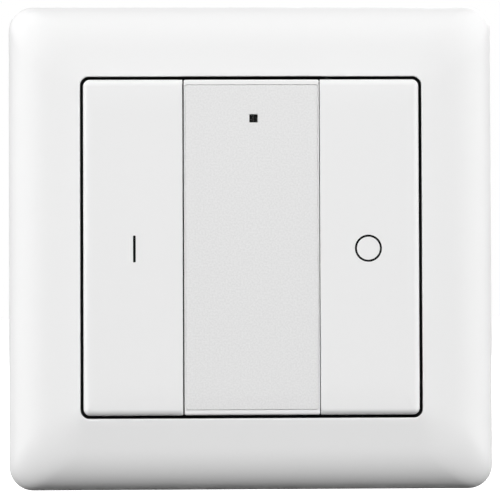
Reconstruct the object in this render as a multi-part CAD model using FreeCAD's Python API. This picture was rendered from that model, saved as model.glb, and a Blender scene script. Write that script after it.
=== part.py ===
import FreeCAD, Part
import math
import os

# Wireless wall switch: a domed square frame round an insert with two rocker keys and a fixed bar between.
# Lengths are in millimetres and angles in degrees. X points right, Z up and Y into the wall. A depth is how
# far a surface stands out from the wall, so a point at depth d has y = -d. The origin is the middle of the
# wall face.

# Cover frame
frame_side = 80.5
frame_corner = 4.0
frame_lift = 0.2
skirt_depth = 0.9
crown_run = 7.8
crown_rise = 7.0
crown_fullness = 2.4
crown_slope = 10.5
crown_corner_swell = 2.6
crown_sections = 9
frame_shell = 1.9
opening_corner = 1.45
opening_edge_round = 0.2
crown_overrun = 0.7
collar_wall = 1.6
ledge_thickness = 1.5
frame_rib_thickness = 1.0
frame_rib_offset = 16.0
head_notch_width = 9.0
head_notch_height = 1.9

# Wall bracket and its tape pads
bracket_margin = 4.75
bracket_corner = 4.0
bracket_thickness = 2.0
bracket_hole_radius = 2.1
bracket_hole_spacing = 60.0
pad_depth = 0.8
pad_length = 18.0
pad_edge_margin = 0.6
pad_corner_margin = 4.0
end_pad_offset = 16.0

# Rear case
ledge_rest = 1.55
case_corner = 2.0
case_lift = 0.4
case_floor = 1.2
case_wall = 1.4
case_inside_corner = 1.2
case_in_bracket_clearance = 0.5
case_in_ledge_clearance = 0.4
boss_radius = 3.0
boss_top_gap = 0.8
board_inset_to_screw = 1.6
post_radius = 1.2
post_offset_x = 10.5
post_inset = 2.5
snap_offset = 9.0
snap_width = 6.0
snap_slit = 0.8
snap_arm_height = 4.2
snap_reach = 1.2
snap_thickness = 0.7
snap_pocket_clearance = 0.6

# Battery door, cell and contacts
cell_to_rim_gap = 0.4
door_clearance = 0.1
door_rim_width = 1.2
door_rim_height = 0.95
door_lug_reach = 1.05
door_lug_lift = 0.1
door_lug_angle = 24.0
door_lug_count = 3
door_turn = 40.0
door_notch_spare = 6.0
coin_slot_length = 15.0
coin_slot_width = 1.8
coin_slot_depth = 0.6
lug_groove_clearance = 0.3
cell_radius = 12.25
cell_thickness = 3.0
cell_lift = 0.05
cell_cap_step = 0.2
cell_cap_inset = 1.2
cell_edge_round = 0.3
cell_side_clearance = 0.25
well_wall = 1.2
well_top_gap = 0.3
contact_thickness = 0.2
contact_width = 4.0
contact_foot = 2.5
contact_side_gap = 0.04
contact_slot_spare = 1.0
finger_root = 9.0

# Circuit board and what it carries
board_clearance = 0.7
board_thickness = 1.0
cell_to_board = 0.55
board_boss_clearance = 0.4
radio_width = 14.0
radio_height = 5.4
radio_thickness = 1.6
radio_inset = 3.2
radio_lid_inset = 0.4
radio_base_thickness = 0.5
chip_side = 5.0
chip_thickness = 0.9
chip_to_screw = 5.9
board_part_clearance = 0.3
crystal_length = 3.2
crystal_width = 1.6
crystal_thickness = 0.8
capacitor_length = 1.6
capacitor_width = 0.8
capacitor_thickness = 0.8
capacitor_pitch = 1.5
capacitor_count = 4
led_length = 1.6
led_width = 1.0
led_thickness = 0.5

# Front case
seam_above_board_back = 0.3
flange_thickness = 1.3
flange_clearance = 0.25
flange_corner = 1.2
lip_depth = 1.0
lip_wall = 1.0
lip_clearance = 0.1
board_to_deck = 0.8
deck_thickness = 1.2
deck_corner = 1.5
deck_to_skirt = 0.5
front_boss_radius = 2.2

# Case screws
screw_radius = 1.0
screw_clearance = 0.02
screw_pass_clearance = 0.2
screw_head_radius = 1.9
screw_head_height = 1.2
screw_head_sink = 0.3
screw_head_clearance = 0.2
screw_drive_length = 2.2
screw_drive_width = 0.45
screw_drive_depth = 0.6
screw_end_gap = 0.4

# Push switches
switch_side = 5.2
switch_height = 1.3
switch_floor = 0.3
switch_cavity_radius = 1.95
switch_cover_thickness = 0.2
switch_window_clearance = 0.3
plunger_height = 2.0
plunger_radius = 1.0
plunger_clearance = 0.08
plunger_flange_radius = 1.3
plunger_flange_thickness = 0.35
plunger_edge_round = 0.15
dome_radius = 1.8
dome_rise = 0.36
dome_thickness = 0.1

# Keys and the bar between them
key_gap = 0.5
bar_width = 21.9
joint_gap = 0.16
bar_height = 54.3
bar_end_step = 0.1
bar_shift = 0.05
key_wall = 1.3
key_skirt = 1.25
key_room = 1.7
key_corner = 1.1
key_edge_round = 0.9
joint_edge_round = 0.15
skirt_travel_room = 0.8
inner_skirt_lift = 0.3
bar_end_round = 0.4
bar_seat_clearance = 0.3
hinge_inset = 2.05
hinge_below_wall = 0.6
hinge_pin_radius = 0.8
hinge_clearance = 0.05
hinge_offset = 18.0
bearing_wall = 0.9
bearing_width = 2.6
bearing_top_gap = 0.2
rib_clearance = 0.2
rib_thickness = 1.0
rib_half_width = 1.3
pusher_arm = 6.2
pusher_radius = 0.9
pusher_gap = 0.05
stop_arm = 8.4
stop_offset = 10.0
stop_width = 4.0
stop_thickness = 1.0
stop_reach = 0.7
stop_height = 0.45
stop_gap = 0.05
stop_window_gap = 0.2
stop_window_inner = 0.7
stop_side_clearance = 0.4
peg_radius = 1.1
peg_clearance = 0.1
peg_barb = 0.25
peg_barb_height = 0.45
peg_offset_x = 6.0
peg_offset_z = 14.0
peg_split = 0.5

# Inlay of the bar, light guide and marks
inlay_side_margin = 0.25
inlay_end_margin = 0.9
inlay_depth = 0.4
inlay_clearance = 0.05
inlay_corner = 0.3
guide_side = 1.25
guide_corner = 0.12
guide_x = 0.4
guide_from_end = 6.3
guide_clearance = 0.05
guide_shoulder = 0.55
guide_shoulder_thickness = 0.2
mark_depth = 0.3
mark_toward_bar = 0.25
mark_drop = 0.25
i_mark_width = 0.43
i_mark_height = 4.35
o_mark_radius = 2.2
o_mark_line = 0.36

# Depths that follow from the stack, from the wall outwards
floor_front = case_lift + case_floor
cell_back = floor_front + cell_lift
cell_front = cell_back + cell_thickness
board_back = cell_front + cell_to_board
board_front = board_back + board_thickness
seam = board_back + seam_above_board_back
flange_front = seam + flange_thickness
deck_back = board_front + board_to_deck
deck_front = deck_back + deck_thickness
boss_top = board_back - boss_top_gap
key_inside = deck_front + key_room
face = key_inside + key_wall
skirt_end = flange_front + skirt_travel_room
hinge_depth = key_inside - hinge_below_wall
plunger_top = board_front + plunger_height
well_top = board_back - well_top_gap
rim_front = floor_front + door_rim_height
groove_front = rim_front + door_lug_lift

# Places and sizes across the face that follow from the fits
key_height = bar_height + 2 * bar_end_step
opening_side = key_height + 2 * key_gap
bracket_side = frame_side - 2 * bracket_margin
case_side = opening_side - 2 * ledge_rest
bracket_opening = case_side + 2 * case_in_bracket_clearance
ledge_opening = case_side + 2 * case_in_ledge_clearance
case_inside = case_side - 2 * case_wall
lip_side = case_inside - 2 * lip_clearance
case_room = lip_side - 2 * lip_wall
board_side = case_room - 2 * board_clearance
screw_offset = board_side / 2 - board_inset_to_screw
post_offset_z = board_side / 2 - post_inset
radio_offset = board_side / 2 - radio_inset
chip_offset = screw_offset - chip_to_screw
pad_width = (bracket_side - bracket_opening) / 2 - 2 * pad_edge_margin
side_pad_offset = bracket_side / 2 - pad_corner_margin - pad_length / 2
flange_side = opening_side - 2 * flange_clearance
key_inner = bar_width / 2 + joint_gap
key_outer = opening_side / 2 - key_gap
deck_side = 2 * (key_outer - key_skirt - deck_to_skirt)
hinge_x = key_inner + hinge_inset
switch_x = hinge_x + pusher_arm
stop_x = hinge_x + stop_arm
key_middle = (key_inner + key_outer) / 2
mark_x = key_middle - mark_toward_bar
inlay_width = bar_width - 2 * inlay_side_margin
inlay_height = bar_height - 2 * inlay_end_margin
guide_z = bar_height / 2 - guide_from_end
door_radius = cell_radius + cell_to_rim_gap + door_rim_width
groove_radius = door_radius + door_lug_reach + lug_groove_clearance
well_radius = cell_radius + cell_side_clearance


def point(x, depth, z):
    """The point at x and z that stands at a depth in front of the wall."""
    return FreeCAD.Vector(x, -depth, z)


def corner_arc(x, z, radius, start, depth):
    """A quarter circle round the corner centre x, z that begins at the angle start."""
    ends = [math.radians(start + turn) for turn in (0, 45, 90)]
    spots = [point(x + radius * math.cos(a), depth, z + radius * math.sin(a)) for a in ends]
    return Part.Arc(*spots).toShape()


def outline(left, right, bottom, top, left_corner, right_corner, depth):
    """Closed wire round a rectangle whose left and right corners have their own radius."""
    corners = [
        (right, top, right_corner, 0),
        (left, top, left_corner, 90),
        (left, bottom, left_corner, 180),
        (right, bottom, right_corner, 270),
    ]
    centre_x = (left + right) / 2
    centre_z = (bottom + top) / 2
    arcs = []
    for x, z, radius, start in corners:
        inward_x = math.copysign(radius, centre_x - x)
        inward_z = math.copysign(radius, centre_z - z)
        if radius > 0:
            arcs.append(corner_arc(x + inward_x, z + inward_z, radius, start, depth))
        else:
            arcs.append(Part.Vertex(point(x, depth, z)))
    edges = []
    for index, arc in enumerate(arcs):
        following = arcs[(index + 1) % len(arcs)]
        if arc.Edges:
            edges.append(arc)
        edges.append(Part.makeLine(arc.Vertexes[-1].Point, following.Vertexes[0].Point))
    return Part.Wire(edges)


def square_outline(side, corner, depth):
    """Closed wire round a centred square with round corners."""
    half = side / 2
    return outline(-half, half, -half, half, corner, corner, depth)


def slab(left, right, bottom, top, back, front, left_corner=0.0, right_corner=0.0):
    """Flat block with round corners that reaches from the depth back to the depth front."""
    wire = outline(left, right, bottom, top, left_corner, right_corner, back)
    return Part.Face(wire).extrude(FreeCAD.Vector(0, back - front, 0))


def pad(width, height, back, front, x=0.0, z=0.0, corner=0.0):
    """A slab given by its size and its middle."""
    half_width = width / 2
    half_height = height / 2
    return slab(x - half_width, x + half_width, z - half_height, z + half_height, back, front, corner, corner)


def square(side, corner, back, front):
    """A centred square slab."""
    return pad(side, side, back, front, corner=corner)


def disc(radius, back, front, x=0.0, z=0.0):
    """Round block that reaches from the depth back to the depth front."""
    return Part.makeCylinder(radius, front - back, point(x, back, z), FreeCAD.Vector(0, -1, 0))


def ring(outer, inner, back, front, x=0.0, z=0.0):
    """Round tube between two radii."""
    return disc(outer, back, front, x, z).cut(disc(inner, back, front, x, z))


def sector(radius, back, front, middle, width):
    """Slice of a round block, centred on the angle middle and as wide as the angle width."""
    reach = 2 * radius
    angles = [math.radians(middle + width * share) for share in (-0.5, 0, 0.5)]
    spots = [point(0, back, 0)]
    spots += [point(reach * math.cos(a), back, reach * math.sin(a)) for a in angles]
    wedge = Part.Face(Part.makePolygon(spots + spots[:1])).extrude(FreeCAD.Vector(0, back - front, 0))
    return disc(radius, back, front).common(wedge)


def rod_along_z(radius, x, depth, bottom, top):
    """Round pin that runs upwards."""
    return Part.makeCylinder(radius, top - bottom, point(x, depth, bottom), FreeCAD.Vector(0, 0, 1))


def four_ways(x, z):
    """The point x, z and its mirror images in both middle lines."""
    return [(side * x, end * z) for side in (-1, 1) for end in (-1, 1)]


def screw_places():
    """Middles of the four case screws."""
    return four_ways(screw_offset, screw_offset)


def post_places():
    """Middles of the four posts that hold the board from both sides."""
    return four_ways(post_offset_x, post_offset_z)


def up_and_down(z):
    """The height z above and below the middle."""
    return (-z, z)


def union(first, others):
    """One solid out of several that touch."""
    return first.fuse(others).removeSplitter()


def mirrored(shape):
    """The same shape on the other side of the upright middle plane."""
    return shape.mirror(point(0, 0, 0), FreeCAD.Vector(1, 0, 0))


def edges_at_depth(shape, depth, along=None):
    """Edges that lie wholly at one depth, and only those that pass the test along, if there is one."""
    level = [e for e in shape.Edges if all(abs(v.Y + depth) < 1e-6 for v in e.Vertexes)]
    return [e for e in level if along is None or along(e.CenterOfMass)]


def crown_section(inset, depth, shrink):
    """Outline of the frame's crown at an inset from the outer side.

    The corner radius runs from the outer corner's to the opening's, with a swell between them."""
    share = inset / ((frame_side - opening_side) / 2)
    swell = crown_corner_swell * math.sin(math.pi * min(share, 1.0))
    corner = frame_corner + (opening_corner - frame_corner) * share + swell - shrink * (1 - share)
    return square_outline(frame_side - 2 * inset, max(corner, opening_corner / 2), depth)


def crown(shrink, back, last_inset):
    """Solid under the crown, down to a depth, shrunk on all sides, up to the inset where it is cut flat.

    The profile is a full ellipse quarter on an even slope. It leaves the skirt upright, and where the
    ellipse ends, the slope goes straight on to the opening."""
    slope = math.tan(math.radians(crown_slope))
    power = 2 / crown_fullness
    sections = []
    for step in range(crown_sections):
        angle = math.pi / 2 * step / (crown_sections - 1)
        run = (crown_run - shrink) * (1 - max(math.cos(angle), 0.0) ** power)
        depth = skirt_depth + (crown_rise - shrink) * math.sin(angle) ** power + run * slope
        sections.append(crown_section(shrink + run, depth, shrink))
    last_depth = depth + (last_inset - shrink - run) * slope
    dome = Part.makeLoft(sections, True, False)
    brow = Part.makeLoft([sections[-1], crown_section(last_inset, last_depth, shrink)], True, True)
    skirt = square(frame_side - 2 * shrink, frame_corner - shrink, back, skirt_depth)
    return dome.fuse([brow, skirt])


def frame_ribs(cavity):
    """Two stiffening ribs a side between the collar and the outer shell."""
    near = opening_side / 2 + collar_wall / 2
    far = frame_side / 2 - frame_shell / 2
    back = bracket_thickness + frame_shell / 2
    half = frame_rib_thickness / 2
    ribs = []
    for side in (-1, 1):
        for offset in up_and_down(frame_rib_offset):
            across = sorted((side * near, side * far))
            ribs.append(slab(across[0], across[1], offset - half, offset + half, back, face))
            ribs.append(slab(offset - half, offset + half, across[0], across[1], back, face))
    return [rib.common(cavity) for rib in ribs]


def cover_frame():
    """Hollow domed frame with a collar round its opening and a ledge that the insert presses on."""
    collar_side = opening_side + 2 * collar_wall
    opening_inset = (frame_side - opening_side) / 2
    outside = crown(0.0, frame_lift, opening_inset + crown_overrun)
    cavity = crown(frame_shell, frame_lift, opening_inset)
    collar = square(collar_side, opening_corner + collar_wall, bracket_thickness, face)
    shell = outside.cut(cavity.cut(collar))
    body = shell.cut(square(opening_side, opening_corner, 0, face))
    rims = [e for e in body.Edges if on_opening_rim(e)]
    body = body.makeFillet(opening_edge_round, rims)
    ledge = square(opening_side + collar_wall, opening_corner, seam - ledge_thickness, seam)
    ledge = ledge.cut(square(ledge_opening, opening_corner, 0, face))
    body = union(body, [ledge] + frame_ribs(cavity))
    notch_front = bracket_thickness + head_notch_height
    for turned in (False, True):
        width = collar_side + collar_wall
        sizes = (head_notch_width, width) if turned else (width, head_notch_width)
        body = body.cut(pad(*sizes, bracket_thickness, notch_front))
    return body


def on_opening_rim(edge):
    """Whether an edge lies where the crown meets the wall of the opening."""
    middle = edge.CenterOfMass
    reach = max(abs(middle.x), abs(middle.z))
    beside = abs(reach - opening_side / 2) < opening_corner
    level = edge.BoundBox.YLength < opening_corner
    return beside and level and -middle.y > skirt_depth + crown_rise / 2 and edge.Length > opening_corner


def pad_places():
    """Middle, width and height of each tape pad on the bracket."""
    across = bracket_side / 2 - pad_edge_margin - pad_width / 2
    beside = [(x, z, pad_width, pad_length) for x, z in four_ways(across, side_pad_offset)]
    above = [(x, z, pad_length, pad_width) for x, z in four_ways(end_pad_offset, across)]
    return beside + above


def adhesive_pads():
    """Foam tape pads that lie in the bracket's recesses, level with its back."""
    pads = [pad(w, h, 0, pad_depth, x, z) for x, z, w, h in pad_places()]
    return Part.makeCompound(pads)


def wall_bracket():
    """Flat square plate with an opening, screw holes, recesses for the tape and pockets for the snaps."""
    plate = square(bracket_side, bracket_corner, 0, bracket_thickness)
    tools = [square(bracket_opening, case_corner, 0, bracket_thickness)]
    tools += [pad(w, h, 0, pad_depth, x, z) for x, z, w, h in pad_places()]
    half_spacing = bracket_hole_spacing / 2
    for side in (-1, 1):
        tools.append(disc(bracket_hole_radius, 0, bracket_thickness, side * half_spacing, 0))
        tools.append(disc(bracket_hole_radius, 0, bracket_thickness, 0, side * half_spacing))
    pocket_width = case_side + 2 * (snap_reach + snap_pocket_clearance)
    pocket_front = snap_back() + snap_thickness
    for offset in up_and_down(snap_offset):
        tools.append(pad(pocket_width, snap_width + 2 * snap_slit, 0, pocket_front, 0, offset))
    return plate.cut(tools)


def snap_back():
    """Depth of the back of the snap hooks, which stay clear of the wall."""
    return case_lift / 2


def snap_hook(side, offset):
    """Hook with a slanted back that grips behind the rim of the bracket's opening."""
    root = case_side / 2 - case_wall
    near = case_side / 2
    tip = near + snap_reach
    front = snap_back() + snap_thickness
    spots = [(root, snap_back()), (near, snap_back()), (tip, front - case_lift / 2)]
    spots += [(tip, front), (root, front)]
    corners = [point(side * x, depth, offset - snap_width / 2) for x, depth in spots]
    return Part.Face(Part.makePolygon(corners + corners[:1])).extrude(FreeCAD.Vector(0, 0, snap_width))


def snap_slits(side, offset):
    """Cuts that free a snap arm: one on each side in the wall and one in the floor behind it."""
    wall_inside = side * (case_side / 2 - case_wall)
    wall_outside = side * (case_side / 2)
    arm_top = case_lift + snap_arm_height
    slits = []
    for edge in (-1, 1):
        z = offset + edge * (snap_width + snap_slit) / 2
        middle = (wall_inside + wall_outside) / 2
        slits.append(pad(case_wall + 2 * snap_slit, snap_slit, case_lift, arm_top, middle, z))
    floor_x = wall_inside - side * snap_slit / 2
    slits.append(pad(snap_slit, snap_width + 2 * snap_slit, case_lift, floor_front, floor_x, offset))
    return slits


def lug_angles():
    """Angles of the battery door's lugs when it is locked."""
    return [90 + 360 / door_lug_count * i for i in range(door_lug_count)]


def battery_well():
    """Round wall that guides the cell, with a groove at its foot for the door's lugs."""
    outer = groove_radius + well_wall
    wall = disc(outer, floor_front, well_top)
    groove = disc(groove_radius, floor_front, groove_front)
    bore = disc(well_radius, groove_front, well_top)
    slot_height = contact_width + contact_slot_spare
    slot = slab(-outer, 0, -slot_height / 2, slot_height / 2, groove_front, well_top)
    return wall.cut([groove, bore, slot] + board_part_rooms())


def board_part_rooms():
    """Room in the well's wall for the parts on the back of the board, where they come near it."""
    row = capacitor_width + (capacitor_count - 1) * capacitor_pitch
    parts = [
        (radio_width, radio_height, radio_thickness, 0, -radio_offset),
        (chip_side, chip_side, chip_thickness, chip_offset, chip_offset),
        (crystal_length, crystal_width, crystal_thickness, -chip_offset, chip_offset),
        (row, capacitor_length, capacitor_thickness, -chip_offset, -chip_offset),
    ]
    gap = board_part_clearance
    rooms = []
    for width, height, thickness, x, z in parts:
        rooms.append(pad(width + 2 * gap, height + 2 * gap, board_back - thickness - gap, board_back, x, z))
    return rooms


def door_hole():
    """Hole in the floor for the battery door, with notches that let its lugs in when it is turned back."""
    lug_radius = door_radius + door_lug_reach + door_clearance
    notch_width = door_lug_angle + door_notch_spare
    hole = disc(door_radius + door_clearance, case_lift, floor_front)
    notches = [sector(lug_radius, case_lift, floor_front, a - door_turn, notch_width) for a in lug_angles()]
    return [hole] + notches


def rear_case():
    """Back shell of the insert: floor, walls, battery well, screw bosses, board posts and snap arms."""
    tub = square(case_side, case_corner, case_lift, seam)
    tub = tub.cut(square(case_inside, case_inside_corner, floor_front, seam))
    added = [battery_well()]
    added += [disc(boss_radius, floor_front, boss_top, x, z) for x, z in screw_places()]
    added += [disc(post_radius, floor_front, board_back, x, z) for x, z in post_places()]
    tub = union(tub, added)
    cuts = door_hole()
    for x, z in screw_places():
        head_front = case_lift + screw_head_sink + screw_head_height
        cuts.append(disc(screw_head_radius + screw_head_clearance, case_lift, head_front, x, z))
        cuts.append(disc(screw_radius + screw_pass_clearance, case_lift, boss_top, x, z))
    for side in (-1, 1):
        for offset in up_and_down(snap_offset):
            cuts += snap_slits(side, offset)
    tub = tub.cut(cuts)
    hooks = [snap_hook(side, offset) for side in (-1, 1) for offset in up_and_down(snap_offset)]
    return union(tub, hooks)


def case_screws():
    """Four countersunk-in screws from the back, with a cross drive, that pull the two shells together."""
    head_back = case_lift + screw_head_sink
    head_front = head_back + screw_head_height
    end = deck_back - screw_end_gap
    screws = []
    for x, z in screw_places():
        head = disc(screw_head_radius, head_back, head_front, x, z)
        shank = disc(screw_radius, head_front, end, x, z)
        drive_end = head_back + screw_drive_depth
        drive = [
            pad(screw_drive_length, screw_drive_width, head_back, drive_end, x, z),
            pad(screw_drive_width, screw_drive_length, head_back, drive_end, x, z),
        ]
        screws.append(union(head, [shank]).cut(drive))
    return Part.makeCompound(screws)


def battery_door():
    """Round door with a coin slot, a rim and three lugs that turn into the groove behind the floor."""
    plate = disc(door_radius, case_lift, floor_front)
    rim = ring(door_radius, door_radius - door_rim_width, floor_front, rim_front)
    lug_radius = door_radius + door_lug_reach
    lug_back = floor_front + door_lug_lift
    inner = disc(door_radius - door_rim_width, lug_back, rim_front)
    lugs = [sector(lug_radius, lug_back, rim_front, a, door_lug_angle).cut(inner) for a in lug_angles()]
    slot_end = case_lift + coin_slot_depth
    slot = pad(coin_slot_length, coin_slot_width, case_lift, slot_end, corner=coin_slot_width / 3)
    return union(plate, [rim] + lugs).cut(slot)


def coin_cell():
    """Round cell: a can with rounded edges and a slightly smaller cap towards the board."""
    can_front = cell_front - cell_cap_step
    can = disc(cell_radius, cell_back, can_front)
    can = can.makeFillet(cell_edge_round, edges_at_depth(can, cell_back))
    cap = disc(cell_radius - cell_cap_inset, can_front, cell_front)
    return union(can, [cap])


def bent_strip(spots, thickness, low, high):
    """Spring leaf: a line through spots of (z, depth), given a thickness and extruded along X."""
    line = [point(low, depth, z) for z, depth in spots]
    back = [point(low, depth - thickness, z) for z, depth in reversed(spots)]
    return Part.Face(Part.makePolygon(line + back + line[:1])).extrude(FreeCAD.Vector(high - low, 0, 0))


def cell_contact_minus():
    """Spring finger soldered to the back of the board that leans down onto the cell's cap."""
    half = contact_width / 2
    tip_depth = cell_front + contact_thickness
    spots = [(finger_root, board_back), (finger_root - contact_foot, board_back)]
    spots += [(contact_foot, tip_depth), (0, tip_depth)]
    return bent_strip(spots, contact_thickness, -half, half)


def cell_contact_plus():
    """Angled leaf soldered to the back of the board that touches the side of the cell's can."""
    near = cell_radius + contact_side_gap
    half = contact_width / 2
    foot = slab(-near - contact_foot, -near, -half, half, board_back - contact_thickness, board_back)
    blade_back = groove_front + contact_thickness
    blade = slab(-near - contact_thickness, -near, -half, half, blade_back, board_back)
    return union(foot, [blade])


def circuit_board():
    """Square board with its corners cut round the screw bosses and notches for the keys' stop hooks."""
    board = square(board_side, 0.0, board_back, board_front)
    cut_radius = front_boss_radius + board_boss_clearance
    cuts = [disc(cut_radius, board_back, board_front, x, z) for x, z in screw_places()]
    corner_room = board_side / 2 - screw_offset
    for x, z in four_ways(screw_offset + corner_room / 2, screw_offset + corner_room / 2):
        cuts.append(pad(corner_room, corner_room, board_back, board_front, x, z))
    notch_near = stop_x - stop_thickness / 2 - stop_window_inner
    notch_middle = (notch_near + board_side / 2) / 2
    notch_width = board_side / 2 - notch_near
    notch_height = stop_width + 2 * stop_side_clearance
    for x, z in four_ways(notch_middle, stop_offset):
        cuts.append(pad(notch_width, notch_height, board_back, board_front, x, z))
    return board.cut(cuts)


def radio_module():
    """Radio on its own small base under a screening can, on the back of the board."""
    base_back = board_back - radio_base_thickness
    base = pad(radio_width, radio_height, base_back, board_back, 0, -radio_offset)
    can_width = radio_width - 2 * radio_lid_inset
    can_height = radio_height - 2 * radio_lid_inset
    can_back = board_back - radio_thickness
    can = pad(can_width, can_height, can_back, base_back, 0, -radio_offset, radio_lid_inset)
    return union(base, [can])


def control_chip():
    """Square chip on the back of the board."""
    return pad(chip_side, chip_side, board_back - chip_thickness, board_back, chip_offset, chip_offset)


def timing_crystal():
    """Small metal can beside the chip."""
    back = board_back - crystal_thickness
    return pad(crystal_length, crystal_width, back, board_back, -chip_offset, chip_offset, crystal_width / 4)


def board_capacitors():
    """Row of small parts on the back of the board."""
    row = (capacitor_count - 1) / 2
    back = board_back - capacitor_thickness
    places = [-chip_offset + (i - row) * capacitor_pitch for i in range(capacitor_count)]
    sizes = (capacitor_width, capacitor_length, back, board_back)
    return Part.makeCompound([pad(*sizes, x, -chip_offset) for x in places])


def status_led():
    """Lamp on the front of the board, under the light guide."""
    return pad(led_length, led_width, board_front, board_front + led_thickness, guide_x, guide_z)


def light_pipe():
    """Square guide from the lamp to the face, with a shoulder that stops it under the deck."""
    shoulder_side = guide_side + 2 * guide_shoulder
    shoulder_back = deck_back - guide_shoulder_thickness
    shoulder = pad(shoulder_side, shoulder_side, shoulder_back, deck_back, guide_x, guide_z)
    guide = pad(guide_side, guide_side, deck_back, face, guide_x, guide_z, guide_corner)
    return union(shoulder, [guide])


def guide_hole(back, front):
    """Room for the light guide between two depths."""
    side = guide_side + 2 * guide_clearance
    return pad(side, side, back, front, guide_x, guide_z, guide_corner)


def bearings():
    """Posts on the deck that the keys' hinge pins snap into from the front."""
    half_width = hinge_pin_radius + bearing_wall
    top = key_inside - bearing_top_gap
    posts = []
    for x, z in four_ways(hinge_x, hinge_offset):
        post = pad(2 * half_width, bearing_width, deck_front, top, x, z)
        bore_radius = hinge_pin_radius + hinge_clearance
        bore = rod_along_z(bore_radius, x, hinge_depth, z - bearing_width, z + bearing_width)
        posts.append(post.cut(bore))
    return posts


def deck_windows():
    """Windows in the deck for the switches, the keys' stop hooks, the bar's pegs and the light guide."""
    windows = [guide_hole(deck_back, deck_front)]
    switch_window = switch_side + 2 * switch_window_clearance
    hook_near = stop_x - stop_thickness / 2 - stop_window_inner
    hook_far = stop_x + stop_thickness / 2 + stop_window_gap
    hook_height = stop_width + 2 * stop_side_clearance
    for side in (-1, 1):
        windows.append(pad(switch_window, switch_window, deck_back, deck_front, side * switch_x, 0))
    for x, z in four_ways((hook_near + hook_far) / 2, stop_offset):
        windows.append(pad(hook_far - hook_near, hook_height, deck_back, deck_front, x, z))
    for x, z in four_ways(peg_offset_x, peg_offset_z):
        windows.append(disc(peg_radius + peg_clearance, deck_back, deck_front, x, z))
    return windows


def moving_rooms():
    """Room behind the deck for the switches and for the keys' hooks, where they come near the case's wall."""
    switch_room = switch_side + 2 * switch_window_clearance
    rooms = []
    for x in (-switch_x, switch_x):
        rooms.append(pad(switch_room, switch_room, board_front, deck_back, x, 0))
    hook_back = deck_back - stop_gap - stop_height - stop_side_clearance
    hook_near = stop_x - stop_thickness / 2
    hook_far = stop_x + stop_thickness / 2 + stop_reach + stop_side_clearance
    hook_height = stop_width + 2 * stop_side_clearance
    for x, z in four_ways((hook_near + hook_far) / 2, stop_offset):
        rooms.append(pad(hook_far - hook_near, hook_height, hook_back, deck_back, x, z))
    return rooms


def front_case():
    """Front shell of the insert: flange, raised deck with bearings, lip into the rear case, bosses, posts."""
    flange = square(flange_side, flange_corner, seam, flange_front)
    deck = square(deck_side, deck_corner, seam, deck_front)
    lip = square(lip_side, case_inside_corner, seam - lip_depth, seam)
    room = square(case_room, lip_wall / 2, seam - lip_depth, deck_back)
    shell = union(flange, [deck, lip]).cut([room] + moving_rooms())
    added = bearings()
    added += [disc(front_boss_radius, boss_top, deck_back, x, z) for x, z in screw_places()]
    added += [disc(post_radius, board_front, deck_back, x, z) for x, z in post_places()]
    shell = union(shell, added)
    bore = screw_radius + screw_clearance
    bore_end = deck_back - screw_end_gap / 2
    bores = [disc(bore, boss_top, bore_end, x, z) for x, z in screw_places()]
    return shell.cut(bores + deck_windows())


def switch_base(x):
    """Moulded cup of a push switch."""
    top = board_front + switch_height - switch_cover_thickness
    cup = pad(switch_side, switch_side, board_front, top, x, 0)
    return cup.cut(disc(switch_cavity_radius, board_front + switch_floor, top, x, 0))


def switch_cover(x):
    """Thin plate that closes the cup and guides the plunger."""
    top = board_front + switch_height
    plate = pad(switch_side, switch_side, top - switch_cover_thickness, top, x, 0)
    return plate.cut(disc(plunger_radius + plunger_clearance, top - switch_cover_thickness, top, x, 0))


def switch_dome(x):
    """Thin snap dome: a cap cut from a hollow sphere, resting on the cup's floor."""
    floor = board_front + switch_floor
    sphere_radius = (dome_radius**2 + dome_rise**2) / (2 * dome_rise)
    centre = point(x, floor + dome_rise - sphere_radius, 0)
    outside = Part.makeSphere(sphere_radius, centre)
    inside = Part.makeSphere(sphere_radius - dome_thickness, centre)
    return disc(dome_radius, floor, floor + 2 * dome_rise, x, 0).common(outside).cut(inside)


def plunger(x):
    """Stem with a flange under the cover, standing on the dome."""
    under_cover = board_front + switch_height - switch_cover_thickness
    flange_back = under_cover - plunger_flange_thickness
    flange = disc(plunger_flange_radius, flange_back, under_cover, x, 0)
    stem = disc(plunger_radius, under_cover, plunger_top, x, 0)
    stem = stem.makeFillet(plunger_edge_round, edges_at_depth(stem, plunger_top))
    return union(flange, [stem])


def key_skin():
    """Outer block of the right-hand key, with soft edges round its face and finer ones along the joint."""
    half_height = key_height / 2
    skin = slab(key_inner, key_outer, -half_height, half_height, skirt_end, face, 0.0, key_corner)
    outer = edges_at_depth(skin, face, lambda c: c.x > key_inner + joint_edge_round)
    skin = skin.makeFillet(key_edge_round, outer)
    return skin.makeFillet(joint_edge_round, side_rim(skin, key_inner, half_height))


def side_rim(shape, x, half_height):
    """Front edges of an upright side face: the long one and the rounded ends that lead into it."""
    found = []
    for edge in shape.Edges:
        flat = all(abs(v.X - x) < 1e-6 for v in edge.Vertexes)
        in_front = -edge.CenterOfMass.y > face - 2 * key_edge_round
        upright = abs(abs(edge.CenterOfMass.z) - half_height) < 1e-6
        if flat and in_front and not upright:
            found.append(edge)
    return found


def key_body():
    """Right-hand key: a skirted shell with hinge pins between ribs, a pusher and two stop hooks."""
    skin = key_skin()
    reach = key_height / 2 - key_skirt
    wall = key_inner + key_skirt
    hollow = slab(wall, key_outer - key_skirt, -reach, reach, skirt_end, key_inside)
    under = slab(key_inner, wall, -reach, reach, skirt_end, deck_front + inner_skirt_lift)
    shell = skin.cut([hollow, under])
    bearing_room = bearing_width + 2 * rib_clearance
    for z in up_and_down(hinge_offset):
        room = slab(key_inner, wall, z - bearing_room / 2, z + bearing_room / 2, skirt_end, key_inside)
        shell = shell.cut(room)
    return union(shell, hinge_pins() + [pusher()] + stop_hooks())


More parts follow.
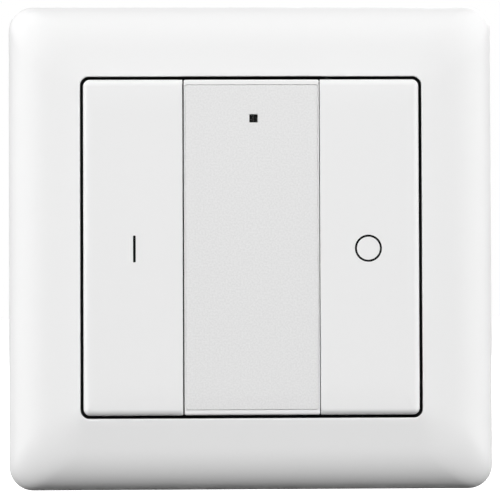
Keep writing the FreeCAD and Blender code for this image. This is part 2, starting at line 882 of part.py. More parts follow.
def hinge_pins():
    """Ribs under the key's face with a pin between each pair."""
    parts = []
    rib_end = hinge_depth - hinge_pin_radius
    reach = bearing_width / 2 + rib_clearance
    for z in up_and_down(hinge_offset):
        parts.append(rod_along_z(hinge_pin_radius, hinge_x, hinge_depth, z - reach, z + reach))
        for side in (-1, 1):
            middle = z + side * (reach + rib_thickness / 2)
            parts.append(pad(2 * rib_half_width, rib_thickness, rib_end, key_inside, hinge_x, middle))
    return parts


def pusher():
    """Post under the key that presses the switch plunger."""
    return disc(pusher_radius, plunger_top + pusher_gap, key_inside, switch_x, 0)


def stop_hooks():
    """Legs that pass through the deck and hook behind it, so that the key can't swing out past level."""
    hooks = []
    hook_front = deck_back - stop_gap
    hook_back = hook_front - stop_height
    near = stop_x - stop_thickness / 2
    far = stop_x + stop_thickness / 2
    for z in up_and_down(stop_offset):
        low = z - stop_width / 2
        high = z + stop_width / 2
        hooks.append(slab(near, far, low, high, hook_back, key_inside))
        hooks.append(slab(near, far + stop_reach, low, high, hook_back, hook_front))
    return hooks


def i_mark(x):
    """Upright bar with round ends."""
    return pad(i_mark_width, i_mark_height, face - mark_depth, face, x, -mark_drop, i_mark_width / 3)


def o_mark(x):
    """Thin ring."""
    return ring(o_mark_radius, o_mark_radius - o_mark_line, face - mark_depth, face, x, -mark_drop)


def bar_shell():
    """Outer block of the bar with round front edges, hollow behind and open towards the deck."""
    left = bar_shift - bar_width / 2
    right = bar_shift + bar_width / 2
    half_height = bar_height / 2
    skin = slab(left, right, -half_height, half_height, skirt_end, face)
    ends = edges_at_depth(skin, face, lambda c: abs(c.z) > half_height - bar_end_round)
    skin = skin.makeFillet(bar_end_round, ends)
    for x in (left, right):
        skin = skin.makeFillet(joint_edge_round, side_rim(skin, x, half_height))
    hollow = pad(bar_width - 2 * key_skirt, bar_height - 2 * key_skirt, skirt_end, key_inside, bar_shift)
    deck_room = pad(2 * bar_width, deck_side + 2 * bar_seat_clearance, skirt_end, deck_front)
    return skin.cut([hollow, deck_room])


def bar_pegs():
    """Split pegs with barbs that hold the bar behind the deck."""
    barb_front = deck_back - stop_gap
    barb_back = barb_front - peg_barb_height
    pegs = []
    for x, z in four_ways(peg_offset_x, peg_offset_z):
        stem = disc(peg_radius, barb_back, key_inside, x, z)
        start = point(x, barb_back, z)
        radii = (peg_radius - peg_barb, peg_radius + peg_barb)
        barb = Part.makeCone(*radii, peg_barb_height, start, FreeCAD.Vector(0, -1, 0))
        split = pad(peg_split, 2 * (peg_radius + peg_barb), barb_back, deck_front, x, z)
        tip = disc(peg_radius, barb_back, barb_front, x, z)
        pegs.append(union(stem.cut(tip), [barb]).cut(split))
    return pegs


def centre_panel():
    """Fixed bar between the keys, with a shallow recess for its inlay."""
    bar = union(bar_shell(), bar_pegs())
    recess_width = inlay_width + 2 * inlay_clearance
    recess_height = inlay_height + 2 * inlay_clearance
    recess = pad(recess_width, recess_height, face - inlay_depth, face, bar_shift, corner=inlay_corner)
    return bar.cut([recess, guide_hole(key_inside, face)])


def centre_inlay():
    """Flat textured plate in the bar's recess, with a hole for the light guide."""
    plate = pad(inlay_width, inlay_height, face - inlay_depth, face, bar_shift, corner=inlay_corner)
    return plate.cut(guide_hole(face - inlay_depth, face))


def save(node, shape):
    """Write one sub-part to its own file."""
    shape.exportStep("parts/" + node + ".step")


def main():
    os.makedirs("parts", exist_ok=True)
    key = key_body()
    on_mark = i_mark(-mark_x)
    off_mark = o_mark(mark_x)
    save("cover_frame", cover_frame())
    save("wall_bracket", wall_bracket())
    save("adhesive_pads", adhesive_pads())
    save("rear_case", rear_case())
    save("case_screws", case_screws())
    save("battery_door", battery_door())
    save("coin_cell", coin_cell())
    save("cell_contact_minus", cell_contact_minus())
    save("cell_contact_plus", cell_contact_plus())
    save("circuit_board", circuit_board())
    save("radio_module", radio_module())
    save("control_chip", control_chip())
    save("timing_crystal", timing_crystal())
    save("board_capacitors", board_capacitors())
    save("status_led", status_led())
    save("light_pipe", light_pipe())
    save("front_case", front_case())
    save("centre_panel", centre_panel())
    save("centre_inlay", centre_inlay())
    save("on_key", mirrored(key).cut(on_mark))
    save("off_key", key.cut(off_mark))
    save("on_mark", on_mark)
    save("off_mark", off_mark)
    for name, x in (("on", -switch_x), ("off", switch_x)):
        save(name + "_switch_base", switch_base(x))
        save(name + "_switch_cover", switch_cover(x))
        save(name + "_switch_dome", switch_dome(x))
        save(name + "_plunger", plunger(x))


main()
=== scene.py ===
import math

import bpy
import numpy as np
from bpy.props import FloatProperty, FloatVectorProperty, PointerProperty
from mathutils import Matrix, Vector


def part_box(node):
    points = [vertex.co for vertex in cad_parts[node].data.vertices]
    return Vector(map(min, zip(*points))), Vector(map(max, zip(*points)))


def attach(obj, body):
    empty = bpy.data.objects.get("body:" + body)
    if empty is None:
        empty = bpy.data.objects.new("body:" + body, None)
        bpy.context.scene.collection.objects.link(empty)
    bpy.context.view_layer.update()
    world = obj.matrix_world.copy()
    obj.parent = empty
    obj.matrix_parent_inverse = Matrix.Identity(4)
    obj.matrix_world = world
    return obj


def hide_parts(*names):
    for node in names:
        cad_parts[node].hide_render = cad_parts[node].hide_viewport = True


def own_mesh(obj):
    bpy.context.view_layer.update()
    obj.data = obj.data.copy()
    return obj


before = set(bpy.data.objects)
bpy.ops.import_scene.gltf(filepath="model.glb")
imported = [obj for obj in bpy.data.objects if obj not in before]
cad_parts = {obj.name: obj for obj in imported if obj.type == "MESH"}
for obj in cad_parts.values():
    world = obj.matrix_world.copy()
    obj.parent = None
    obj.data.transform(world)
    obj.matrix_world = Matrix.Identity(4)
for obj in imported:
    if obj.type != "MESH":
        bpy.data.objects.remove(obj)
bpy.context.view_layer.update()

bl_info = {
    "name": "Wireless wall switch",
    "version": (1, 0, 0),
    "blender": (4, 5, 0),
    "location": "View3D > Sidebar > Wall switch",
    "description": "Dresses a square wall switch with two rocker keys in its moulded surfaces and finishes",
    "category": "Object",
}

# Lengths are in metres. X points right, Z up and Y into the wall. A depth is how far a surface stands out
# from the wall, so a point at depth d has y = -d. The origin is the middle of the wall face.
MM = 0.001

X, Y, Z = 0, 1, 2


def span(node, axis):
    """Lowest and highest value of a node's box along one axis."""
    low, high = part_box(node)
    return low[axis], high[axis]


def depths(node):
    """How far the back and the front of a node stand out from the wall."""
    low, high = span(node, Y)
    return -high, -low


# Places that the new pieces take from the nodes they stand for or lean on
FACE = depths("centre_inlay")[1]
INLAY_BACK = depths("centre_inlay")[0]
MARK_BACK = depths("off_mark")[0]
FRAME_BACK = depths("cover_frame")[0]
FRAME_HALF = span("cover_frame", X)[1]
KEY_INNER, KEY_OUTER = span("off_key", X)
KEY_TOP = span("off_key", Z)[1]
HOOK_BACK = depths("off_key")[0]
BAR_LEFT, BAR_RIGHT = span("centre_panel", X)
BAR_TOP = span("centre_panel", Z)[1]
PEG_BACK = depths("centre_panel")[0]
BRACKET_FRONT = depths("wall_bracket")[1]
SEAM = depths("rear_case")[1]
PLUNGER_TOP = depths("off_plunger")[1]
SWITCH_X = sum(span("off_plunger", X)) / 2
GUIDE_BACK = depths("light_pipe")[0]
GUIDE_X = sum(span("light_pipe", X)) / 2
GUIDE_Z = sum(span("light_pipe", Z)) / 2
SHOULDER_HALF = GUIDE_X - span("light_pipe", X)[0]

# How finely the surfaces are divided
CORNER_STEPS = 16
SIDE_STEPS = 40
CROWN_ROWS = 56
ROUND_ROWS = 7
DOME_ROWS = 21
FILL_ROWS = 6
FLOOR_POINTS = 9
SHARP_ANGLE = math.radians(32)

# How far below an edge the painted shade on the walls of the gap beside it is full
GAP_FADE = 0.08 * MM
# The smallest corner radius along a rounded front edge
LEAST_CORNER = 0.2 * MM
# The share of a face wall that the posts and ribs behind it reach into
ROOTED = 0.25
# The share of a dome's arc at which its first circle lies, next to the pole
POLE_SHARE = 0.02


def length(name, description, default):
    """A length that a user may change, with its default in millimetres."""
    return FloatProperty(name=name, description=description, default=default * MM, min=0, unit="LENGTH", precision=5)


def tilt(name, description, default):
    """An angle that a user may change, with its default in degrees."""
    return FloatProperty(name=name, description=description, default=math.radians(default), subtype="ANGLE")


def colour(name, description, default):
    """A surface colour that a user may change."""
    return FloatVectorProperty(
        name=name, description=description, default=default, size=3, min=0, max=1, subtype="COLOR")


def portion(name, description, default):
    """A share between nothing and all that a user may change."""
    return FloatProperty(name=name, description=description, default=default, min=0, max=1, subtype="FACTOR")


def light(name, description, default):
    """The strength of a light that a user may change. At 1 a white surface that faces it renders white."""
    return FloatProperty(name=name, description=description, default=default, min=0)


class FrameSizes(bpy.types.PropertyGroup):
    """Sizes of the domed cover frame."""

    skirt_depth: length("Skirt", "Depth at which the upright skirt ends and the crown begins", 0.9)
    crown_run: length("Crown run", "Width over which the crown curves", 7.8)
    crown_rise: length("Crown rise", "Rise of the crown's curve above its slope", 7.0)
    crown_fullness: FloatProperty(
        name="Crown fullness", description="Exponent of the crown's curve, 2 for an ellipse",
        default=2.4, min=1, max=6)
    inner_slope: tilt("Inner slope", "Slope of the crown, which is all that is left next to the opening", 10.5)
    outer_corner: length("Outer corner", "Corner radius of the skirt", 4.0)
    corner_swell: length("Corner swell", "How much the corner radius grows half way up the crown", 2.6)
    opening_corner: length("Opening corner", "Corner radius of the opening", 1.45)
    opening_round: length("Opening edge", "Radius of the edge round the opening", 0.2)
    # Painted shade: the skirt and the foot of the crown are drawn darker, as a contact shadow along the wall
    painted_foot_shade: portion("Foot shade", "How dark the skirt and the foot of the crown are drawn", 0.4)
    foot_fade: length("Foot fade", "Width over which that shade fades out", 0.24)
    key_gap: length("Gap round the keys", "Room between the keys and the opening", 0.5)
    shell: length("Shell", "Wall thickness of the crown", 1.9)
    collar: length("Collar", "Wall thickness round the opening", 1.6)
    ledge_reach: length("Ledge", "How far the ledge reaches in from the opening", 1.15)
    ledge_thickness: length("Ledge thickness", "Thickness of the ledge that presses on the insert", 1.5)
    rib_thickness: length("Rib", "Thickness of the stiffening ribs", 1.0)
    rib_offset: length("Rib offset", "Distance of the ribs from the middle of a side", 16.0)


class KeySizes(bpy.types.PropertyGroup):
    """Sizes of the two rocker keys."""

    wall: length("Face wall", "Thickness behind the face", 1.3)
    skirt: length("Skirt wall", "Thickness of the skirt", 1.25)
    corner: length("Corner", "Radius of the outer corners", 1.1)
    joint_corner: length("Joint corner", "Radius of the corners next to the bar", 0.3)
    edge_round: length("Edge", "Radius of the front edges", 1.15)
    joint_round: length("Joint edge", "Radius of the edge next to the bar", 0.12)
    skirt_end: length("Skirt end", "Depth at which the skirt ends", 7.6)
    joint_end: length("Joint skirt end", "Depth at which the skirt next to the bar ends", 8.5)
    pin_x: length("Pin place", "Distance of the hinge pins from the middle", 13.16)
    pin_depth: length("Pin depth", "Depth of the hinge pins", 9.3)
    pin_offset: length("Pin offset", "Height of the hinge pins above and below the middle", 18.0)
    pin_radius: length("Pin", "Radius of the hinge pins", 0.8)
    pin_reach: length("Pin reach", "Half the length of a pin", 1.5)
    pin_rib: length("Pin rib", "Thickness of the ribs that carry the pins", 1.0)
    pin_rib_half: length("Pin rib width", "Half the width of those ribs", 1.3)
    post_room: length("Post room", "Height of the wall that is left in front of a bearing post", 0.05)
    pusher: length("Pusher", "Radius of the post over the switch", 0.9)
    pusher_gap: length("Pusher gap", "Room between the post and the plunger", 0.05)
    hook_x: length("Hook place", "Distance of the stop hooks from the middle", 21.56)
    hook_offset: length("Hook offset", "Height of the stop hooks above and below the middle", 10.0)
    hook_width: length("Hook width", "Width of a stop hook", 4.0)
    hook_thickness: length("Hook thickness", "Thickness of a stop hook", 1.0)
    hook_reach: length("Hook reach", "How far the hook's nose reaches out", 0.7)
    hook_height: length("Hook nose", "Height of the hook's nose", 0.45)


class MarkSizes(bpy.types.PropertyGroup):
    """Sizes of the stroke and the ring that are inlaid in the keys."""

    ring_line: length("Ring line", "Line width of the ring mark", 0.34)
    stroke_corner: length("Stroke corner", "Corner radius of the stroke mark", 0.14)


class BarSizes(bpy.types.PropertyGroup):
    """Sizes of the bar between the keys, its inlay and its light guide."""

    end_round: length("End edge", "Radius of the front edges at the top and the bottom", 0.4)
    joint_round: length("Joint edge", "Radius of the long front edges", 0.12)
    corner: length("Corner", "Radius of the bar's corners", 0.3)
    side_end: length("Side end", "Depth at which the long walls end", 8.2)
    inlay_clearance: length("Inlay clearance", "Room round the inlay", 0.07)
    inlay_corner: length("Inlay corner", "Corner radius of the inlay", 0.3)
    inlay_round: length("Inlay edge", "Radius of the inlay's front edge", 0.06)
    guide_half: length("Guide", "Half the width of the light guide", 0.625)
    guide_corner: length("Guide corner", "Corner radius of the light guide", 0.12)
    guide_round: length("Guide edge", "Radius of the light guide's front edge", 0.05)
    guide_clearance: length("Guide clearance", "Room round the light guide", 0.05)
    guide_shoulder: length("Guide shoulder", "Thickness of the shoulder behind the deck", 0.2)
    peg_x: length("Peg place", "Distance of the pegs from the middle", 6.0)
    peg_z: length("Peg height", "Height of the pegs above and below the middle", 14.0)
    peg_radius: length("Peg", "Radius of a peg", 1.1)
    peg_barb: length("Peg barb", "How far the barb stands out", 0.25)
    peg_barb_height: length("Barb height", "Height of the barb", 0.45)


class DomeSizes(bpy.types.PropertyGroup):
    """Sizes of the snap domes in the push switches."""

    radius: length("Radius", "Radius of a dome's rim", 1.8)
    rise: length("Rise", "Height of a dome over its rim", 0.36)
    thickness: length("Thickness", "Thickness of its sheet", 0.1)
    flattened: portion("Flattened", "Share of its height that is left under a pressed key", 0.45)


class Finishes(bpy.types.PropertyGroup):
    """Colours of the moulded and metal parts, and how strong the painted shade deep in the gaps is."""

    # Painted shade: how dark the walls deep in the gaps round the keys and the bar are drawn
    painted_gap_shade: portion("Gap shade", "How dark the walls deep in the gaps are drawn", 0.97)
    frame_white: colour("Frame", "Matt white of the cover frame", (0.86, 0.86, 0.86))
    key_white: colour("Keys", "Matt white of the keys and the bar", (0.87, 0.87, 0.87))
    inlay_white: colour("Inlay", "Finely textured white of the inlay", (0.76, 0.76, 0.76))
    ink: colour("Marks", "Dark grey of the two marks", (0.007, 0.007, 0.007))
    smoke: colour("Light guide", "Smoked plastic of the light guide", (0.001, 0.001, 0.001))
    case_dark: colour("Front case", "Dark plastic behind the keys", (0.012, 0.012, 0.012))
    case_grey: colour("Rear case", "Grey plastic of the rear case and the battery door", (0.42, 0.43, 0.44))
    bracket_grey: colour("Bracket", "Grey plastic of the wall bracket", (0.55, 0.56, 0.57))
    foam: colour("Tape", "Dark foam of the tape pads", (0.12, 0.12, 0.12))
    steel: colour("Steel", "Plated steel of the screws and the switch covers", (0.62, 0.62, 0.64))
    nickel: colour("Nickel", "Nickel of the cell and its contacts", (0.70, 0.70, 0.68))
    mask_green: colour("Board", "Solder mask of the circuit board", (0.05, 0.22, 0.12))
    epoxy: colour("Chip", "Moulded epoxy of the chip and the switches", (0.05, 0.05, 0.05))
    ceramic: colour("Capacitors", "Ceramic of the capacitors", (0.46, 0.34, 0.22))
    resin: colour("Lamp", "Clear resin of the lamp", (0.85, 0.86, 0.80))
    plunger_white: colour("Plunger", "White plastic of the plungers", (0.78, 0.78, 0.76))


class StageSettings(bpy.types.PropertyGroup):
    """Camera, lamps and floor."""

    front_lamp: light("Front lamp", "Light from above the viewer", 1.0)
    top_lamp: light("Top lamp", "Light from straight above", 0.18)
    left_lamp: light("Left lamp", "Light from the left", 0.66)
    right_lamp: light("Right lamp", "Light from the right", 0.61)
    back_lamp: light("Back lamp", "Light on the back of the switch", 0.7)
    room_light: light("Room light", "Even light from all round", 0.0)
    lamp_distance: length("Lamp distance", "Distance of the lamps from the switch", 1800)
    lamp_size: length("Lamp size", "Side of each square lamp", 700)
    floor_drop: length("Floor drop", "How far below the switch the floor lies", 60)
    floor_side: length("Floor side", "Side of the square floor", 8000)
    floor_pale: colour("Floor", "Pale colour of the floor", (0.82, 0.82, 0.82))


# Shapes


def rounded_rectangles(left, right, bottom, top, left_corner, right_corner):
    """Outlines of rectangles with round corners, one row per rectangle, as an array rows x points x (x, z).

    Going round from the right side's top: each corner is its centre + radius * (cos a, sin a), with a over a
    quarter turn, and between two corners the points lie evenly on the straight side."""
    sides = np.broadcast_arrays(*(np.atleast_1d(v).astype(float) for v in (
        left, right, bottom, top, left_corner, right_corner)))
    left, right, bottom, top, left_corner, right_corner = sides
    radius = np.stack([right_corner, left_corner, left_corner, right_corner], 1)[..., None]
    centre_x = np.stack([right - right_corner, left + left_corner, left + left_corner, right - right_corner], 1)
    centre_z = np.stack([top - right_corner, top - left_corner, bottom + left_corner, bottom + right_corner], 1)
    quarter = math.pi / 2
    angle = np.arange(4)[:, None] * quarter + np.linspace(0, quarter, CORNER_STEPS + 1)
    arcs = np.stack([centre_x[..., None] + radius * np.cos(angle), centre_z[..., None] + radius * np.sin(angle)], -1)
    share = np.arange(1, SIDE_STEPS)[:, None] / SIDE_STEPS
    start, end = arcs[:, :, -1:], np.roll(arcs[:, :, :1], -1, axis=1)
    runs = start + (end - start) * share
    return np.concatenate([arcs, runs], 2).reshape(len(left), -1, 2)


def side_shares():
    """How much each point of such an outline belongs to the right, top, left and bottom side.

    A corner's points go over evenly from one side to the next, so the four shares always add up to 1."""
    over = np.linspace(0, 1, CORNER_STEPS + 1)
    side = np.eye(4)
    arcs = side[:, None] * (1 - over)[:, None] + np.roll(side, -1, axis=0)[:, None] * over[:, None]
    runs = np.repeat(np.roll(side, -1, axis=0)[:, None], SIDE_STEPS - 1, axis=1)
    return np.concatenate([arcs, runs], 1).reshape(-1, 4)


def circles(radius, x, z, outline):
    """Circles round x, z, one row per radius, whose points lie on the rays to the points of an outline."""
    ray = outline - (x, z)
    ray /= np.linalg.norm(ray, axis=1, keepdims=True)
    return (x, z) + np.asarray(radius, float)[:, None, None] * ray


def at_depth(outlines, depth):
    """Points in space from outlines rows x points x (x, z) and a depth for each row or each point."""
    depth = np.broadcast_to(depth if np.ndim(depth) == 2 else np.reshape(depth, (-1, 1)), outlines.shape[:2])
    return np.stack([outlines[..., 0], -depth, outlines[..., 1]], -1)


def between(start, end, count):
    """Rows that lie evenly between two rows of points, without the two themselves."""
    share = (np.arange(1, count) / count)[:, None, None]
    return start + (end - start) * share


def edge_arc():
    """Inset and drop along a rounded edge of radius 1, from the face outwards.

    At the turn t from 0 to 90 degrees they are 1 - sin t and 1 - cos t."""
    turn = np.linspace(0, math.pi / 2, ROUND_ROWS)
    return 1 - np.sin(turn), 1 - np.cos(turn)


def surface(points, ring=False, shade=0):
    """Closed surface over rows of points that each go once round: vertices, four- and three-sided faces, shades.

    A face joins points n and n + 1 of one row with those of the next. With ring the last row joins the first,
    and otherwise the first and last rows close on a pole at their mean. The enclosed volume is a sixth of the
    sum of a . (b x c) over all triangles, and where that is negative the faces are turned round. A row's shade
    is the strength of the painted shade on it: 1 where it lies deep in a gap, and less at the frame's foot."""
    rows, count = points.shape[:2]
    shades = np.repeat(np.broadcast_to(np.asarray(shade, float), rows), count)
    index = np.arange(rows * count).reshape(rows, count)
    after = np.roll(index, -1, axis=1)
    vertices = points.reshape(-1, 3)
    if ring:
        quads = np.stack([index, after, np.roll(after, -1, axis=0), np.roll(index, -1, axis=0)], -1)
        triangles = np.zeros((0, 3), int)
    else:
        quads = np.stack([index[:-1], after[:-1], after[1:], index[1:]], -1)
        first = np.full(count, len(vertices))
        triangles = np.concatenate([
            np.stack([after[0], index[0], first], -1),
            np.stack([index[-1], after[-1], first + 1], -1),
        ])
        vertices = np.concatenate([vertices, points[[0, -1]].mean(axis=1)])
        shades = np.append(shades, shades[[0, -1]])
    quads = quads.reshape(-1, 4)
    corners = vertices[np.concatenate([quads[:, [0, 1, 2]], quads[:, [0, 2, 3]], triangles])]
    if np.einsum("ij,ij->", corners[:, 0], np.cross(corners[:, 1], corners[:, 2])) < 0:
        quads, triangles = quads[:, ::-1], triangles[:, ::-1]
    return vertices, quads, triangles, shades


def block(left, right, bottom, top, back, front, corner=0.05 * MM):
    """Upright block between two depths: one outline with slightly round corners at both depths."""
    outline = rounded_rectangles(left, right, bottom, top, corner, corner)
    return surface(at_depth(np.repeat(outline, 2, axis=0), [back, front]))


def unit_circle():
    """Points of a circle of radius 1: cos a and sin a, with the angle a going evenly once round."""
    angle = np.linspace(0, 2 * math.pi, 4 * CORNER_STEPS, endpoint=False)
    return np.stack([np.cos(angle), np.sin(angle)], -1)


def turned(radius, depth, x, z):
    """Round solid about the line through x, z: a circle for each radius, at the depth that goes with it."""
    return surface(at_depth((x, z) + np.asarray(radius, float)[:, None, None] * unit_circle(), depth))


def rod(radius, x, depth, bottom, top):
    """Pin along Z: a circle in the horizontal plane at its bottom and at its top."""
    circle = np.pad((x, -depth) + radius * unit_circle(), ((0, 0), (0, 1)))
    return surface(np.stack([circle + (0, 0, bottom), circle + (0, 0, top)]))


def mirrored(shape):
    """The same closed surface on the other side of the upright middle plane, with its faces turned outwards."""
    vertices, quads, triangles, shades = shape
    return vertices * (-1, 1, 1), quads[:, ::-1], triangles[:, ::-1], shades


def add_piece(name, shapes, material, body, node):
    """One object out of closed surfaces that stands for a node, rides on a body and is smooth but for its edges."""
    starts = np.cumsum([0] + [len(shape[0]) for shape in shapes[:-1]])
    vertices = np.concatenate([shape[0] for shape in shapes])
    quads = np.concatenate([shape[1] + start for shape, start in zip(shapes, starts)])
    triangles = np.concatenate([shape[2] + start for shape, start in zip(shapes, starts)])
    mesh = bpy.data.meshes.new(name)
    mesh.from_pydata(vertices.tolist(), [], quads.tolist() + triangles.tolist())
    # Strength of the painted shade at each point, which the matt white materials read
    shade = mesh.attributes.new("shade", "FLOAT", "POINT")
    shade.data.foreach_set("value", np.concatenate([shape[3] for shape in shapes]))
    mesh.shade_smooth()
    mesh.set_sharp_from_angle(angle=SHARP_ANGLE)
    mesh.materials.append(material)
    piece = bpy.data.objects.new(name, mesh)
    bpy.context.scene.collection.objects.link(piece)
    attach(piece, body)
    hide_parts(node)
    return piece


def crown_rows(shrink, last_inset, count, sizes, opening_half):
    """Inset, depth and corner radius along the crown, from the skirt to an inset.

    A full ellipse quarter stands on an even slope. While the angle a grows from 0 to 90 degrees,
    inset = shrink + run (1 - cos(a)^(2/n)) and depth = skirt + rise sin(a)^(2/n) + inset tan slope, where n is
    the fullness and the run and the rise are less by the shrink. From there on only the slope is left. The
    corner goes over from the skirt's to the opening's, with a swell of one sine arch between them."""
    turn, power = np.linspace(0, math.pi / 2, count), 2 / sizes.crown_fullness
    inset = shrink + (sizes.crown_run - shrink) * (1 - np.cos(turn).clip(0) ** power)
    rise = (sizes.crown_rise - shrink) * np.sin(turn) ** power
    straight = np.linspace(inset[-1], last_inset, FILL_ROWS + 1)[1:]
    inset, rise = np.append(inset, straight), np.append(rise, np.full(FILL_ROWS, rise[-1]))
    depth = sizes.skirt_depth + rise + (inset - shrink) * math.tan(sizes.inner_slope)
    share = inset / (FRAME_HALF - opening_half)
    corner = sizes.outer_corner + (sizes.opening_corner - sizes.outer_corner) * share
    corner += sizes.corner_swell * np.sin(math.pi * np.clip(share, 0, 1)) - shrink * (1 - share)
    return np.stack([inset, depth, corner], -1)


def cover_frame_shape(sizes):
    """The frame's closed profile carried round a square: skirt, crown, rounded edge, opening, ledge and cavity.

    Each row is an inset from the skirt, a depth and a corner radius. The rounded edge is an arc of the given
    radius from the crown's inner slope to the upright wall of the opening. That wall and the ledge's front carry
    full painted shade, and the foot carries the foot's painted shade strength times (1 - inset / foot_fade), a
    painted contact shadow along the wall."""
    opening_half = KEY_OUTER + sizes.key_gap
    wall_inset = FRAME_HALF - opening_half
    collar_inset = wall_inset - sizes.collar
    radius, slope = sizes.opening_round, sizes.inner_slope
    outside = crown_rows(0, wall_inset - radius * (1 + math.sin(slope)), CROWN_ROWS, sizes, opening_half)
    turn = np.linspace(math.pi / 2 + slope, 0, ROUND_ROWS)[1:]
    edge = outside[-1] + np.stack([
        radius * (math.sin(slope) + np.cos(turn)),
        radius * (np.sin(turn) - math.cos(slope)),
        np.zeros_like(turn),
    ], -1)
    edge[:, 2] = sizes.opening_corner
    ledge_back, ledge_inset = SEAM - sizes.ledge_thickness, wall_inset + sizes.ledge_reach
    corner, collar_corner = sizes.opening_corner, sizes.opening_corner + sizes.collar
    inside = crown_rows(sizes.shell, collar_inset, CROWN_ROWS // 2, sizes, opening_half)[::-1]
    inside[0, 2] = collar_corner
    rows = np.concatenate([
        [[0, FRAME_BACK, sizes.outer_corner]],
        outside,
        edge,
        [
            [wall_inset, edge[-1, 1] - GAP_FADE, corner],
            [wall_inset, SEAM, corner],
            [ledge_inset, SEAM, corner],
            [ledge_inset, ledge_back, corner],
            [wall_inset, ledge_back, corner],
            [wall_inset, BRACKET_FRONT, corner],
            [collar_inset, BRACKET_FRONT, collar_corner],
        ],
        inside,
        [[sizes.shell, FRAME_BACK, sizes.outer_corner - sizes.shell]],
    ])
    half = FRAME_HALF - rows[:, 0]
    outlines = rounded_rectangles(-half, half, -half, half, rows[:, 2], rows[:, 2])
    shade = np.zeros(len(rows))
    front = 1 + len(outside) + len(edge)
    # Painted shade, full on the opening's wall and the ledge's front in the gap round the keys
    shade[front:front + 3] = 1
    # Painted shade at the foot, a contact shadow along the wall that fades out over foot_fade
    shade[:front] = sizes.painted_foot_shade * (1 - rows[:front, 0] / sizes.foot_fade).clip(0)
    return surface(at_depth(outlines, rows[:, 1]), ring=True, shade=shade)


def rib_shapes(sizes):
    """Two ribs on each side of the frame, from the collar to the skirt, that end in the shell.

    A rib is a row of upright rectangles: as thick as the rib, from its back to the middle of the shell there."""
    opening_half = KEY_OUTER + sizes.key_gap
    collar_inset = FRAME_HALF - opening_half - sizes.collar
    middle = crown_rows(sizes.shell / 2, collar_inset + sizes.collar / 2, FILL_ROWS, sizes, opening_half)
    inset, front = middle[:, 0], middle[:, 1]
    back = np.full_like(front, BRACKET_FRONT + sizes.shell / 2)
    half = sizes.rib_thickness / 2
    shapes = []
    for quarter in range(4):
        turn = quarter * math.pi / 2
        along, across = np.array((math.cos(turn), math.sin(turn))), np.array((-math.sin(turn), math.cos(turn)))
        for offset in (-sizes.rib_offset, sizes.rib_offset):
            line = (FRAME_HALF - inset)[:, None] * along + offset * across
            low, high = line - half * across, line + half * across
            corners = np.stack([low, high, high, low], 1)
            depth = np.stack([back, back, front, front], 1)
            shapes.append(surface(at_depth(corners, depth)))
    return shapes


def soft_edge_rows(left, right, half_height, side_round, end_round, joint_corner, outer_corner):
    """Rows over a rounded front edge, from the face outwards.

    Each side follows edge_arc times its own radius: side_round is that of the right and of the left side, and
    end_round that of the top and the bottom. Over a corner the radius goes evenly from one to the other."""
    inset, drop = edge_arc()
    right_round, left_round = side_round
    outlines = rounded_rectangles(
        left + left_round * inset, right - right_round * inset,
        -half_height + end_round * inset, half_height - end_round * inset,
        joint_corner, np.maximum(outer_corner - right_round * inset, LEAST_CORNER),
    )
    radius = side_shares() @ (right_round, end_round, left_round, end_round)
    return at_depth(outlines, FACE - drop[:, None] * radius)


def key_shape(sizes, mark_rows):
    """The right-hand key's closed shell: groove of its mark, face, soft edges, skirt, and the hollow behind.

    All rows are outlines of one rectangle. The face fills up evenly from the mark's outline to the edge. The wall
    next to the bar ends further forward than the others, and almost at the ceiling where a bearing post passes."""
    left, right, half = KEY_INNER, KEY_OUTER, KEY_TOP
    edge = soft_edge_rows(
        left, right, half, (sizes.edge_round, sizes.joint_round), sizes.edge_round, sizes.joint_corner, sizes.corner)
    joint = side_shares()[:, 2]
    end = sizes.skirt_end + (sizes.joint_end - sizes.skirt_end) * joint
    ceiling, wall = FACE - sizes.wall, sizes.skirt
    outlines = rounded_rectangles(
        [left, left + wall, left + wall], [right, right - wall, right - wall],
        [-half, wall - half, wall - half], [half, half - wall, half - wall],
        sizes.joint_corner, [sizes.corner, sizes.joint_corner, sizes.joint_corner],
    )
    from_pin = np.abs(np.abs(outlines[:2, :, 1]) - sizes.pin_offset)
    passage = (joint == 1) & (from_pin < sizes.pin_reach + 2 * half / SIDE_STEPS)
    end = np.where(passage, ceiling - sizes.post_room, end)
    inside = at_depth(outlines, np.concatenate([end, np.full_like(end[:1], ceiling)]))
    fill = between(mark_rows[-1], edge[0], FILL_ROWS)
    fade = edge[-1:] + (0, GAP_FADE, 0)
    rows = np.concatenate([mark_rows, fill, edge, fade, inside])
    shade = np.zeros(len(rows))
    # Painted shade on the outer wall of the skirt, below the soft edge, where the gap round the key is
    shade[-4:-2] = 1
    return surface(rows, shade=shade)


